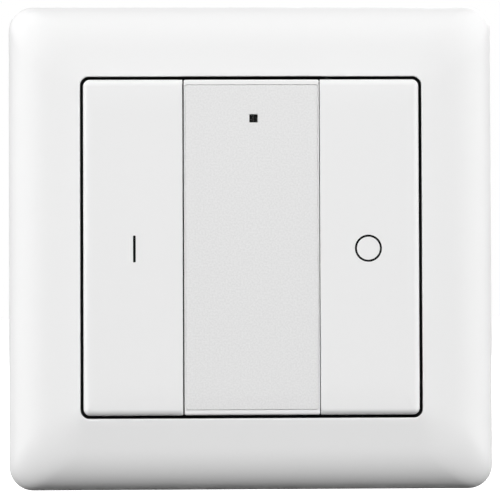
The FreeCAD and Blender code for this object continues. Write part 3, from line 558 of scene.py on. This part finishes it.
def key_fittings(sizes):
    """What stands behind the right-hand key's face: pins between ribs, the post over the switch and the hooks."""
    ceiling = FACE - sizes.wall + sizes.wall * ROOTED
    shapes = [turned((sizes.pusher, sizes.pusher), (PLUNGER_TOP + sizes.pusher_gap, ceiling), SWITCH_X, 0)]
    near, far = sizes.hook_x - sizes.hook_thickness / 2, sizes.hook_x + sizes.hook_thickness / 2
    nose = HOOK_BACK + sizes.hook_height
    rib_start, rib_end = KEY_INNER + sizes.joint_round, sizes.pin_x + sizes.pin_rib_half
    rib_back = sizes.pin_depth - sizes.pin_radius
    for end in (-1, 1):
        pin = end * sizes.pin_offset
        low, high = pin - sizes.pin_reach, pin + sizes.pin_reach
        hook_low, hook_high = (end * sizes.hook_offset + side * sizes.hook_width / 2 for side in (-1, 1))
        shapes += [
            rod(sizes.pin_radius, sizes.pin_x, sizes.pin_depth, low, high),
            block(rib_start, rib_end, low - sizes.pin_rib, low, rib_back, ceiling),
            block(rib_start, rib_end, high, high + sizes.pin_rib, rib_back, ceiling),
            block(near, far, hook_low, hook_high, HOOK_BACK, ceiling),
            block(near, far + sizes.hook_reach, hook_low, hook_high, HOOK_BACK, nose),
        ]
    return shapes


def ring_groove(line):
    """Rows of the ring mark's groove in the right-hand key, from the face inside it to the face outside it."""
    low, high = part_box("off_mark")
    x, z, radius = (low.x + high.x) / 2, (low.z + high.z) / 2, (high.x - low.x) / 2
    outline = rounded_rectangles(KEY_INNER, KEY_OUTER, -KEY_TOP, KEY_TOP, MM, MM)[0]
    rings = circles([radius - line, radius - line, radius, radius], x, z, outline)
    return at_depth(rings, [FACE, MARK_BACK, MARK_BACK, FACE])


def stroke_groove(corner):
    """Rows of the stroke mark's groove, set out on the right-hand side, from its floor to the face round it."""
    low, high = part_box("on_mark")
    stroke = rounded_rectangles(-high.x, -low.x, low.z, high.z, corner, corner)
    return at_depth(np.repeat(stroke, 2, axis=0), [MARK_BACK, FACE])


def guide_outline(bar, half):
    """Outline of the square light guide or of its hole, or one for each of several half widths."""
    return rounded_rectangles(
        GUIDE_X - half, GUIDE_X + half, GUIDE_Z - half, GUIDE_Z + half, bar.guide_corner, bar.guide_corner)


def inlay_outline(bar, grown):
    """Outline of the inlay, moved outwards by a length, or one outline for each of several lengths."""
    low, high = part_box("centre_inlay")
    corner = bar.inlay_corner
    return rounded_rectangles(low.x - grown, high.x + grown, low.z - grown, high.z + grown, corner, corner)


def bar_shape(bar, keys):
    """The bar's closed shell, ringed round the hole for the light guide.

    The rows run from the hole over the recess floor, up its wall, over the rim and the soft edges, down the
    outer wall, which carries painted shade, and back through the hollow to the hole. Four barbed pegs stand behind
    it."""
    hole = guide_outline(bar, bar.guide_half + bar.guide_clearance)
    recess = inlay_outline(bar, bar.inlay_clearance)
    edge = soft_edge_rows(
        BAR_LEFT, BAR_RIGHT, BAR_TOP, (bar.joint_round, bar.joint_round), bar.end_round, bar.corner, bar.corner)
    long_side = side_shares()[:, [0, 2]].sum(axis=1)
    end = keys.skirt_end + (bar.side_end - keys.skirt_end) * long_side
    ceiling, wall = FACE - keys.wall, keys.skirt
    outside = rounded_rectangles(BAR_LEFT, BAR_RIGHT, -BAR_TOP, BAR_TOP, bar.corner, bar.corner)
    hollow = rounded_rectangles(
        BAR_LEFT + wall, BAR_RIGHT - wall, wall - BAR_TOP, BAR_TOP - wall, bar.corner, bar.corner)
    hole_floor, recess_floor = at_depth(hole, INLAY_BACK), at_depth(recess, INLAY_BACK)
    hollow_top, hole_top = at_depth(hollow, ceiling), at_depth(hole, ceiling)
    front = np.concatenate([
        hole_floor, between(hole_floor[0], recess_floor[0], FILL_ROWS), recess_floor, at_depth(recess, FACE), edge,
    ])
    gap = np.concatenate([edge[-1:] + (0, GAP_FADE, 0), at_depth(outside, end[None])])
    back = np.concatenate([
        at_depth(hollow, end[None]), hollow_top, between(hollow_top[0], hole_top[0], FILL_ROWS), hole_top])
    # Painted shade on the outer wall in the gaps between the bar and the keys
    shade = np.repeat([0, 1, 0], [len(front), len(gap), len(back)])
    shell = surface(np.concatenate([front, gap, back]), ring=True, shade=shade)
    stem, barb = bar.peg_radius, bar.peg_radius + bar.peg_barb
    shoulder = PEG_BACK + bar.peg_barb_height
    depth = (PEG_BACK, shoulder, shoulder, ceiling + keys.wall * ROOTED)
    radius = (stem - bar.peg_barb, barb, stem, stem)
    pegs = [turned(radius, depth, x, z) for x in (-bar.peg_x, bar.peg_x) for z in (-bar.peg_z, bar.peg_z)]
    return [shell] + pegs


def inlay_shape(bar):
    """The inlay's closed plate round the hole for the light guide, with a fine round on its front edge."""
    hole = guide_outline(bar, bar.guide_half + bar.guide_clearance)
    inset, drop = edge_arc()
    front, back = at_depth(hole, FACE), at_depth(hole, INLAY_BACK)
    edge = at_depth(inlay_outline(bar, -bar.inlay_round * inset), FACE - bar.inlay_round * drop)
    foot = at_depth(inlay_outline(bar, 0), INLAY_BACK)
    return surface(np.concatenate([
        front, between(front[0], edge[0], FILL_ROWS * 3), edge, foot, between(foot[0], back[0], FILL_ROWS), back,
    ]), ring=True)


def guide_shape(bar):
    """Square light guide: its front edge, its stem and the wider shoulder behind the deck."""
    inset, drop = edge_arc()
    step = GUIDE_BACK + bar.guide_shoulder
    half = np.append(bar.guide_half - bar.guide_round * inset, [bar.guide_half, SHOULDER_HALF, SHOULDER_HALF])
    depth = np.append(FACE - bar.guide_round * drop, [step, step, GUIDE_BACK])
    return surface(at_depth(guide_outline(bar, half), depth))


def snap_dome(sizes, side):
    """A thin cap cut from a hollow sphere, and the middle of the plane that it stands on.

    The outer sphere's radius is (rim^2 + rise^2) / 2 rise. The profile runs over it from the top to the rim and
    back over the inner one. At the turn t a point lies sphere * sin t from the middle and sphere * cos t in
    front of the centre. At the rim cos t is the height of the plane over the centre / sphere."""
    x = sum(span(side + "_switch_dome", X)) / 2
    front = depths(side + "_switch_dome")[1]
    outer = (sizes.radius**2 + sizes.rise**2) / (2 * sizes.rise)
    inner, centre, plane = outer - sizes.thickness, front - outer, front - sizes.rise
    share = np.linspace(POLE_SHARE, 1, DOME_ROWS)
    turn = np.append(
        share * math.acos((plane - centre) / outer),
        share[::-1] * math.acos((plane - centre) / inner))
    sphere = np.repeat([outer, inner], DOME_ROWS)
    return turned(sphere * np.sin(turn), centre + sphere * np.cos(turn), x, 0), (x, -plane, 0)


# Finishes


def new_material(name):
    """Empty node material: its tree, its shader and Object coordinates."""
    material = bpy.data.materials.new(name)
    material.use_nodes = True
    tree = material.node_tree
    shader = tree.nodes["Principled BSDF"]
    place = tree.nodes.new("ShaderNodeTexCoord").outputs["Object"]
    return material, tree, shader, place


def in_grains(tree, place, size, stretch=(1, 1, 1)):
    """The place counted in grains of one size, in metres, that are drawn out along the axes of a small stretch."""
    mapping = tree.nodes.new("ShaderNodeMapping")
    mapping.inputs["Scale"].default_value = [share / size for share in stretch]
    tree.links.new(place, mapping.inputs["Vector"])
    return mapping.outputs["Vector"]


def noise(tree, place, size, detail=2.0, stretch=(1, 1, 1)):
    """Noise whose grains are about one size."""
    node = tree.nodes.new("ShaderNodeTexNoise")
    node.inputs["Scale"].default_value = 1.0
    node.inputs["Detail"].default_value = detail
    tree.links.new(in_grains(tree, place, size, stretch), node.inputs["Vector"])
    return node.outputs["Fac"]


def spread(tree, factor, low, high, start=0.35, end=0.65):
    """Maps a factor from start to end onto the values low to high. A noise has most of its range between those."""
    node = tree.nodes.new("ShaderNodeMapRange")
    node.inputs["From Min"].default_value = start
    node.inputs["From Max"].default_value = end
    node.inputs["To Min"].default_value = low
    node.inputs["To Max"].default_value = high
    tree.links.new(factor, node.inputs["Value"])
    return node.outputs["Result"]


def blend_colours(tree, factor, first, second):
    """Colour that goes from the first to the second with a factor."""
    node = tree.nodes.new("ShaderNodeMix")
    node.data_type = "RGBA"
    node.inputs["A"].default_value = (*first, 1)
    node.inputs["B"].default_value = (*second, 1)
    tree.links.new(factor, node.inputs["Factor"])
    return node.outputs["Result"]


def combined(tree, operation, first, second):
    """Result of one Math node on two values."""
    node = tree.nodes.new("ShaderNodeMath")
    node.operation = operation
    tree.links.new(first, node.inputs[0])
    tree.links.new(second, node.inputs[1])
    return node.outputs["Value"]


def bump(tree, height, lift):
    """Lifts the surface by a height between 0 and 1 times a length."""
    node = tree.nodes.new("ShaderNodeBump")
    node.inputs["Strength"].default_value = 1.0
    node.inputs["Distance"].default_value = lift
    tree.links.new(height, node.inputs["Height"])
    return node.outputs["Normal"]


def shaded(tree, tint, strength):
    """The same colour with painted shade: darker by a strength times the shade attribute, deep in a gap and at the
    frame's foot.
    """
    deep = tree.nodes.new("ShaderNodeAttribute")
    deep.attribute_name = "shade"
    node = tree.nodes.new("ShaderNodeMix")
    node.data_type = "RGBA"
    node.inputs["B"].default_value = (0, 0, 0, 1)
    tree.links.new(spread(tree, deep.outputs["Fac"], 0, strength, start=0, end=1), node.inputs["Factor"])
    tree.links.new(tint, node.inputs["A"])
    return node.outputs["Result"]


def scaled(tint, factor):
    """A colour made lighter or darker, kept within 0 and 1."""
    return tuple(min(1.0, part * factor) for part in tint)


def moulded(name, base, roughness, grain, lift, mottle=0.012, cloud=6 * MM, gloss=0.5, shade=0):
    """Moulded plastic: a faint cloudiness in colour and gloss, the fine grain of the mould, and painted shade on the
    gap walls.

    The grains and the clouds have a size each, lift is the height of the grains, mottle is how much the
    colour of the clouds varies, and shade is how strong the painted shade is."""
    material, tree, shader, place = new_material(name)
    shader.inputs["Specular IOR Level"].default_value = gloss
    clouds = noise(tree, place, cloud, detail=3.0)
    grains = noise(tree, place, grain, detail=3.0)
    tint = blend_colours(tree, clouds, scaled(base, 1 - mottle), scaled(base, 1 + mottle))
    # Painted shade where the shade attribute says the surface lies deep in a gap or at the frame's foot
    tree.links.new(shaded(tree, tint, shade) if shade else tint, shader.inputs["Base Color"])
    tree.links.new(spread(tree, clouds, roughness * 0.92, roughness * 1.08), shader.inputs["Roughness"])
    tree.links.new(bump(tree, grains, lift), shader.inputs["Normal"])
    return material


def matt_white(name, base, finishes):
    """The matt white plastic of what is seen from the front, with painted shade deep in the gaps and at the frame's
    foot.
    """
    return moulded(
        name, base, roughness=0.67, grain=0.12 * MM, lift=0.0012 * MM, gloss=0.25, shade=finishes.painted_gap_shade)


def sparked(name, base, roughness, grain, lift, speckle):
    """Spark-textured plastic: rounded grains in the surface, and specks a little lighter or darker than the rest."""
    material, tree, shader, place = new_material(name)
    cells = tree.nodes.new("ShaderNodeTexVoronoi")
    cells.feature = "SMOOTH_F1"
    cells.inputs["Scale"].default_value = 1.0
    tree.links.new(in_grains(tree, place, grain), cells.inputs["Vector"])
    fine = noise(tree, place, grain * 1.4)
    tint = blend_colours(tree, spread(tree, fine, 0, 1), scaled(base, 1 - speckle), scaled(base, 1 + speckle))
    tree.links.new(tint, shader.inputs["Base Color"])
    tree.links.new(spread(tree, fine, roughness * 0.9, roughness * 1.1), shader.inputs["Roughness"])
    tree.links.new(bump(tree, cells.outputs["Distance"], lift), shader.inputs["Normal"])
    return material


def metal(name, base, roughness, brush, stretch):
    """Plated metal with fine drawing marks along one direction."""
    material, tree, shader, place = new_material(name)
    marks = noise(tree, place, brush, detail=3.0, stretch=stretch)
    tint = blend_colours(tree, marks, scaled(base, 0.94), scaled(base, 1.04))
    tree.links.new(tint, shader.inputs["Base Color"])
    tree.links.new(spread(tree, marks, roughness * 0.8, roughness * 1.25), shader.inputs["Roughness"])
    tree.links.new(bump(tree, marks, lift=0.002 * MM), shader.inputs["Normal"])
    shader.inputs["Metallic"].default_value = 1.0
    return material


def smoked(name, base, speck):
    """Smoked plastic with a few lighter specks deep in it."""
    material, tree, shader, place = new_material(name)
    specks = spread(tree, noise(tree, place, 0.22 * MM, detail=1.0), 0, 1, start=0.55, end=0.63)
    tint = blend_colours(tree, specks, base, scaled((1, 1, 1), speck))
    tree.links.new(tint, shader.inputs["Base Color"])
    tree.links.new(spread(tree, specks, 0.5, 0.7), shader.inputs["Roughness"])
    shader.inputs["Specular IOR Level"].default_value = 0.02
    return material


def solder_mask(name, base):
    """Solder mask over copper: bands of tracks a little lighter and higher than the ground between them."""
    material, tree, shader, place = new_material(name)
    wave = tree.nodes.new("ShaderNodeTexWave")
    wave.bands_direction = "X"
    wave.inputs["Scale"].default_value = 1 / (4 * MM)
    wave.inputs["Distortion"].default_value = 3.0
    wave.inputs["Detail"].default_value = 0.0
    wave.inputs["Detail Scale"].default_value = 0.5
    tree.links.new(place, wave.inputs["Vector"])
    tracks = spread(tree, wave.outputs["Fac"], 0, 1, start=0.55, end=0.6)
    tint = blend_colours(tree, tracks, base, scaled(base, 1.5))
    tree.links.new(tint, shader.inputs["Base Color"])
    tree.links.new(spread(tree, tracks, 0.3, 0.36, start=0, end=1), shader.inputs["Roughness"])
    tree.links.new(bump(tree, tracks, lift=0.03 * MM), shader.inputs["Normal"])
    return material


def dress(nodes, material):
    """Gives nodes that keep their own mesh a better material."""
    for name in nodes:
        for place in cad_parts[name].material_slots:
            place.material = material


class FrameOperator(bpy.types.Operator):
    """Build the domed cover frame round the keys"""

    bl_idname = "wall_switch.cover_frame"
    bl_label = "Cover frame"

    def execute(self, context):
        sizes, finishes = context.scene.switch_frame, context.scene.switch_finishes
        white = matt_white("frame matt white", finishes.frame_white, finishes)
        shapes = [cover_frame_shape(sizes)] + rib_shapes(sizes)
        add_piece("cover_frame_shell", shapes, white, "root", "cover_frame")
        return {"FINISHED"}


class KeysOperator(bpy.types.Operator):
    """Build the two rocker keys, each with the groove of its mark"""

    bl_idname = "wall_switch.keys"
    bl_label = "Rocker keys"

    def execute(self, context):
        keys, marks, finishes = context.scene.switch_keys, context.scene.switch_marks, context.scene.switch_finishes
        white = matt_white("key matt white", finishes.key_white, finishes)
        fittings = key_fittings(keys)
        right = [key_shape(keys, ring_groove(marks.ring_line))] + fittings
        left = [mirrored(shape) for shape in [key_shape(keys, stroke_groove(marks.stroke_corner))] + fittings]
        add_piece("off_key_rocker", right, white, "off_key", "off_key")
        add_piece("on_key_rocker", left, white, "on_key", "on_key")
        return {"FINISHED"}


class MarksOperator(bpy.types.Operator):
    """Build the stroke and the ring that are inlaid in the keys"""

    bl_idname = "wall_switch.marks"
    bl_label = "Marks"

    def execute(self, context):
        marks, finishes = context.scene.switch_marks, context.scene.switch_finishes
        ink = moulded(
            "mark ink", finishes.ink, roughness=0.7, grain=0.1 * MM, lift=0.001 * MM,
            mottle=0.3, cloud=0.4 * MM, gloss=0.02)
        stroke = mirrored(surface(stroke_groove(marks.stroke_corner)))
        ring = surface(ring_groove(marks.ring_line), ring=True)
        add_piece("on_mark_stroke", [stroke], ink, "on_key", "on_mark")
        add_piece("off_mark_ring", [ring], ink, "off_key", "off_mark")
        return {"FINISHED"}


class BarOperator(bpy.types.Operator):
    """Build the fixed bar, its textured inlay and the light guide in it"""

    bl_idname = "wall_switch.bar"
    bl_label = "Bar and inlay"

    def execute(self, context):
        keys, bar, finishes = context.scene.switch_keys, context.scene.switch_bar, context.scene.switch_finishes
        white = matt_white("bar matt white", finishes.key_white, finishes)
        grain = sparked(
            "inlay spark texture", finishes.inlay_white,
            roughness=0.6, grain=0.2 * MM, lift=0.01 * MM, speckle=0.045)
        smoke = smoked("guide smoke", finishes.smoke, speck=0.08)
        add_piece("centre_bar", bar_shape(bar, keys), white, "root", "centre_panel")
        add_piece("centre_inlay_plate", [inlay_shape(bar)], grain, "root", "centre_inlay")
        add_piece("status_light_guide", [guide_shape(bar)], smoke, "root", "light_pipe")
        return {"FINISHED"}


class DomesOperator(bpy.types.Operator):
    """Build the snap domes that sit under the plungers"""

    bl_idname = "wall_switch.snap_domes"
    bl_label = "Snap domes"

    def execute(self, context):
        sizes, steel = context.scene.switch_domes, context.scene.switch_finishes.steel
        spring = metal("snap dome steel", steel, roughness=0.28, brush=0.15 * MM, stretch=(1, 1, 1))
        for side in ("on", "off"):
            shape, foot = snap_dome(sizes, side)
            dome = add_piece(side + "_snap_dome", [shape], spring, "root", side + "_switch_dome")
            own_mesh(dome)
        return {"FINISHED"}


class BodyOperator(bpy.types.Operator):
    """Give the cases, the bracket and what lies inside their finishes"""

    bl_idname = "wall_switch.body_finishes"
    bl_label = "Case and inner parts"

    def execute(self, context):
        finishes = context.scene.switch_finishes
        grey, steel, nickel, epoxy = finishes.case_grey, finishes.steel, finishes.nickel, finishes.epoxy
        # Nodes, name and colour, then the roughness, the size and height of the grains in mm, the mottle and the
        # size of the clouds in mm
        for nodes, name, base, roughness, grain, lift, mottle, cloud in (
            (("front_case",), "front case black", finishes.case_dark, 0.6, 0.15, 0.004, 0.1, 6),
            (("rear_case",), "rear case grey", grey, 0.5, 0.15, 0.004, 0.03, 9),
            (("battery_door",), "battery door grey", grey, 0.42, 0.12, 0.003, 0.03, 5),
            (("wall_bracket",), "bracket grey", finishes.bracket_grey, 0.55, 0.2, 0.006, 0.03, 12),
            (("control_chip",), "chip epoxy", epoxy, 0.6, 0.06, 0.004, 0.1, 6),
            (("board_capacitors",), "capacitor ceramic", finishes.ceramic, 0.5, 0.05, 0.003, 0.06, 0.5),
            (("status_led",), "lamp resin", finishes.resin, 0.2, 0.1, 0.001, 0.03, 0.5),
            (("on_switch_base", "off_switch_base"), "switch cup", epoxy, 0.55, 0.08, 0.003, 0.1, 6),
            (("on_plunger", "off_plunger"), "plunger white", finishes.plunger_white, 0.5, 0.08, 0.002, 0.03, 6),
        ):
            dress(nodes, moulded(name, base, roughness, grain * MM, lift * MM, mottle, cloud * MM))
        # Nodes, name and colour, then the roughness, the size of the drawing marks in mm and their stretch
        for nodes, name, base, roughness, brush, stretch in (
            (("case_screws",), "plated screw steel", steel, 0.32, 0.3, (1, 4, 1)),
            (("coin_cell",), "cell can steel", nickel, 0.25, 0.6, (0.1, 1, 1)),
            (("cell_contact_minus", "cell_contact_plus"), "contact spring strip", nickel, 0.3, 0.3, (1, 1, 0.1)),
            (("radio_module", "timing_crystal"), "tinned shield", steel, 0.35, 0.4, (0.2, 1, 1)),
            (("on_switch_cover", "off_switch_cover"), "switch cover steel", steel, 0.3, 0.2, (0.1, 1, 1)),
        ):
            dress(nodes, metal(name, base, roughness, brush * MM, stretch))
        dress(["adhesive_pads"], sparked(
            "foam tape", finishes.foam, roughness=0.85, grain=0.25 * MM, lift=0.04 * MM, speckle=0.12))
        dress(["circuit_board"], solder_mask("solder mask green", finishes.mask_green))
        return {"FINISHED"}


# Stage


def seen_directly(tree):
    """1 where a ray comes from the camera, from gloss or through something clear, and 0 for the light's own rays."""
    ray = tree.nodes.new("ShaderNodeLightPath").outputs
    seen = combined(tree, "MAXIMUM", ray["Is Camera Ray"], ray["Is Glossy Ray"])
    return combined(tree, "MAXIMUM", seen, ray["Is Transmission Ray"])


def add_world(stage):
    """White wherever it is seen, and the room's even light otherwise."""
    world = bpy.data.worlds.new("studio")
    bpy.context.scene.world = world
    world.use_nodes = True
    tree = world.node_tree
    background = tree.nodes["Background"]
    background.inputs["Color"].default_value = (1, 1, 1, 1)
    strength = spread(tree, seen_directly(tree), stage.room_light, 1, start=0, end=1)
    tree.links.new(strength, background.inputs["Strength"])


def add_floor(stage):
    """Pale floor below the switch that keeps its shadow, and is white further off.

    It glows for rays that see it, more and more from the switch outwards, and is dark for the light's own rays."""
    height = -FRAME_HALF - stage.floor_drop
    steps = stage.floor_side * np.linspace(-0.5, 0.5, FLOOR_POINTS)
    x, y = np.meshgrid(steps, steps, indexing="ij")
    points = np.stack([x, y, np.full_like(x, height)], -1).reshape(-1, 3)
    index = np.arange(FLOOR_POINTS**2).reshape(FLOOR_POINTS, FLOOR_POINTS)
    faces = np.stack([index[:-1, :-1], index[1:, :-1], index[1:, 1:], index[:-1, 1:]], -1).reshape(-1, 4)
    mesh = bpy.data.meshes.new("floor")
    mesh.from_pydata(points.tolist(), [], faces.tolist())
    floor = bpy.data.objects.new("floor", mesh)
    bpy.context.scene.collection.objects.link(floor)
    material, tree, shader, place = new_material("pale floor")
    away = tree.nodes.new("ShaderNodeVectorMath")
    away.operation = "LENGTH"
    tree.links.new(place, away.inputs[0])
    glow = spread(tree, away.outputs["Value"], 0.42, 1.0, start=150 * MM, end=600 * MM)
    seen = seen_directly(tree)
    shader.inputs["Emission Color"].default_value = (1, 1, 1, 1)
    tree.links.new(combined(tree, "MULTIPLY", glow, seen), shader.inputs["Emission Strength"])
    tint = blend_colours(tree, seen, (0.03, 0.03, 0.03), stage.floor_pale)
    tree.links.new(tint, shader.inputs["Base Color"])
    shader.inputs["Roughness"].default_value = 0.9
    shader.inputs["Specular IOR Level"].default_value = 0.0
    mesh.materials.append(material)


def add_lamp(name, stage, strength, sideways, upwards, away):
    """Square soft lamp in one direction from the switch, turned towards it. Away is away from the wall.

    A lamp of power pi squared times the distance squared lights a white surface that faces it up to white."""
    direction = Vector((sideways, -away, upwards)).normalized()
    data = bpy.data.lights.new(name, "AREA")
    data.shape = "SQUARE"
    data.size = stage.lamp_size
    data.energy = strength * math.pi**2 * stage.lamp_distance**2
    lamp = bpy.data.objects.new(name, data)
    lamp.location = direction * stage.lamp_distance
    lamp.rotation_mode = "QUATERNION"
    lamp.rotation_quaternion = direction.to_track_quat("Z", "Y")
    lamp.visible_camera = False
    bpy.context.scene.collection.objects.link(lamp)


# The camera's place in metres, its angles, and its lens and sensor in the millimetres that Blender counts them in
CAMERA_PLACE = (-4.947 * MM, -297.965 * MM, -5.163 * MM)
CAMERA_TURN = math.radians(0.939)
CAMERA_RISE = math.radians(0.935)
CAMERA_ROLL = math.radians(-0.203)
CAMERA_LENS = 127.715
CAMERA_SENSOR = 36.0
CAMERA_NEAR, CAMERA_FAR = 10 * MM, 20.0


def add_camera():
    """Camera in front of the wall. It looks along +Y, turned to the right, raised and rolled by small angles."""
    turn, rise, roll = CAMERA_TURN, CAMERA_RISE, CAMERA_ROLL
    forward = Vector((math.sin(turn) * math.cos(rise), math.cos(turn) * math.cos(rise), math.sin(rise)))
    level = Vector((math.cos(turn), -math.sin(turn), 0))
    upright = level.cross(forward)
    right = math.cos(roll) * level + math.sin(roll) * upright
    up = -math.sin(roll) * level + math.cos(roll) * upright
    data = bpy.data.cameras.new("camera")
    data.lens = CAMERA_LENS
    data.sensor_width = CAMERA_SENSOR
    data.clip_start, data.clip_end = CAMERA_NEAR, CAMERA_FAR
    camera = bpy.data.objects.new("camera", data)
    camera.matrix_world = Matrix.Translation(CAMERA_PLACE) @ Matrix((right, up, -forward)).transposed().to_4x4()
    bpy.context.scene.collection.objects.link(camera)
    bpy.context.scene.camera = camera


class StageOperator(bpy.types.Operator):
    """Set up the floor, the soft lamps and the camera"""

    bl_idname = "wall_switch.stage"
    bl_label = "Stage"

    def execute(self, context):
        stage = context.scene.switch_stage
        context.scene.view_settings.view_transform = "Standard"
        add_world(stage)
        add_floor(stage)
        add_lamp("front lamp", stage, stage.front_lamp, sideways=0, upwards=0.41, away=1)
        add_lamp("top lamp", stage, stage.top_lamp, sideways=0, upwards=1, away=-0.18)
        add_lamp("left lamp", stage, stage.left_lamp, sideways=-1, upwards=0.12, away=-0.08)
        add_lamp("right lamp", stage, stage.right_lamp, sideways=1, upwards=0.12, away=-0.12)
        add_lamp("back lamp", stage, stage.back_lamp, sideways=0.3, upwards=0.4, away=-1)
        add_camera()
        return {"FINISHED"}


STEPS = (StageOperator, FrameOperator, KeysOperator, MarksOperator, BarOperator, DomesOperator, BodyOperator)
GROUPS = {
    "switch_frame": FrameSizes,
    "switch_keys": KeySizes,
    "switch_marks": MarkSizes,
    "switch_bar": BarSizes,
    "switch_domes": DomeSizes,
    "switch_finishes": Finishes,
    "switch_stage": StageSettings,
}


class SwitchPanel(bpy.types.Panel):
    """Lists the steps that dress the wall switch"""

    bl_idname = "VIEW3D_PT_wall_switch"
    bl_label = "Wall switch"
    bl_space_type = "VIEW_3D"
    bl_region_type = "UI"
    bl_category = "Wall switch"

    def draw(self, context):
        for step in STEPS:
            self.layout.operator(step.bl_idname)


def register():
    for cls in (*GROUPS.values(), *STEPS, SwitchPanel):
        bpy.utils.register_class(cls)
    for name, group in GROUPS.items():
        setattr(bpy.types.Scene, name, PointerProperty(type=group))


def unregister():
    for name in GROUPS:
        delattr(bpy.types.Scene, name)
    for cls in reversed((*GROUPS.values(), *STEPS, SwitchPanel)):
        bpy.utils.unregister_class(cls)


def main():
    register()
    bpy.ops.wall_switch.stage()
    bpy.ops.wall_switch.cover_frame()
    bpy.ops.wall_switch.keys()
    bpy.ops.wall_switch.marks()
    bpy.ops.wall_switch.bar()
    bpy.ops.wall_switch.snap_domes()
    bpy.ops.wall_switch.body_finishes()


if __name__ == "__main__":
    main()
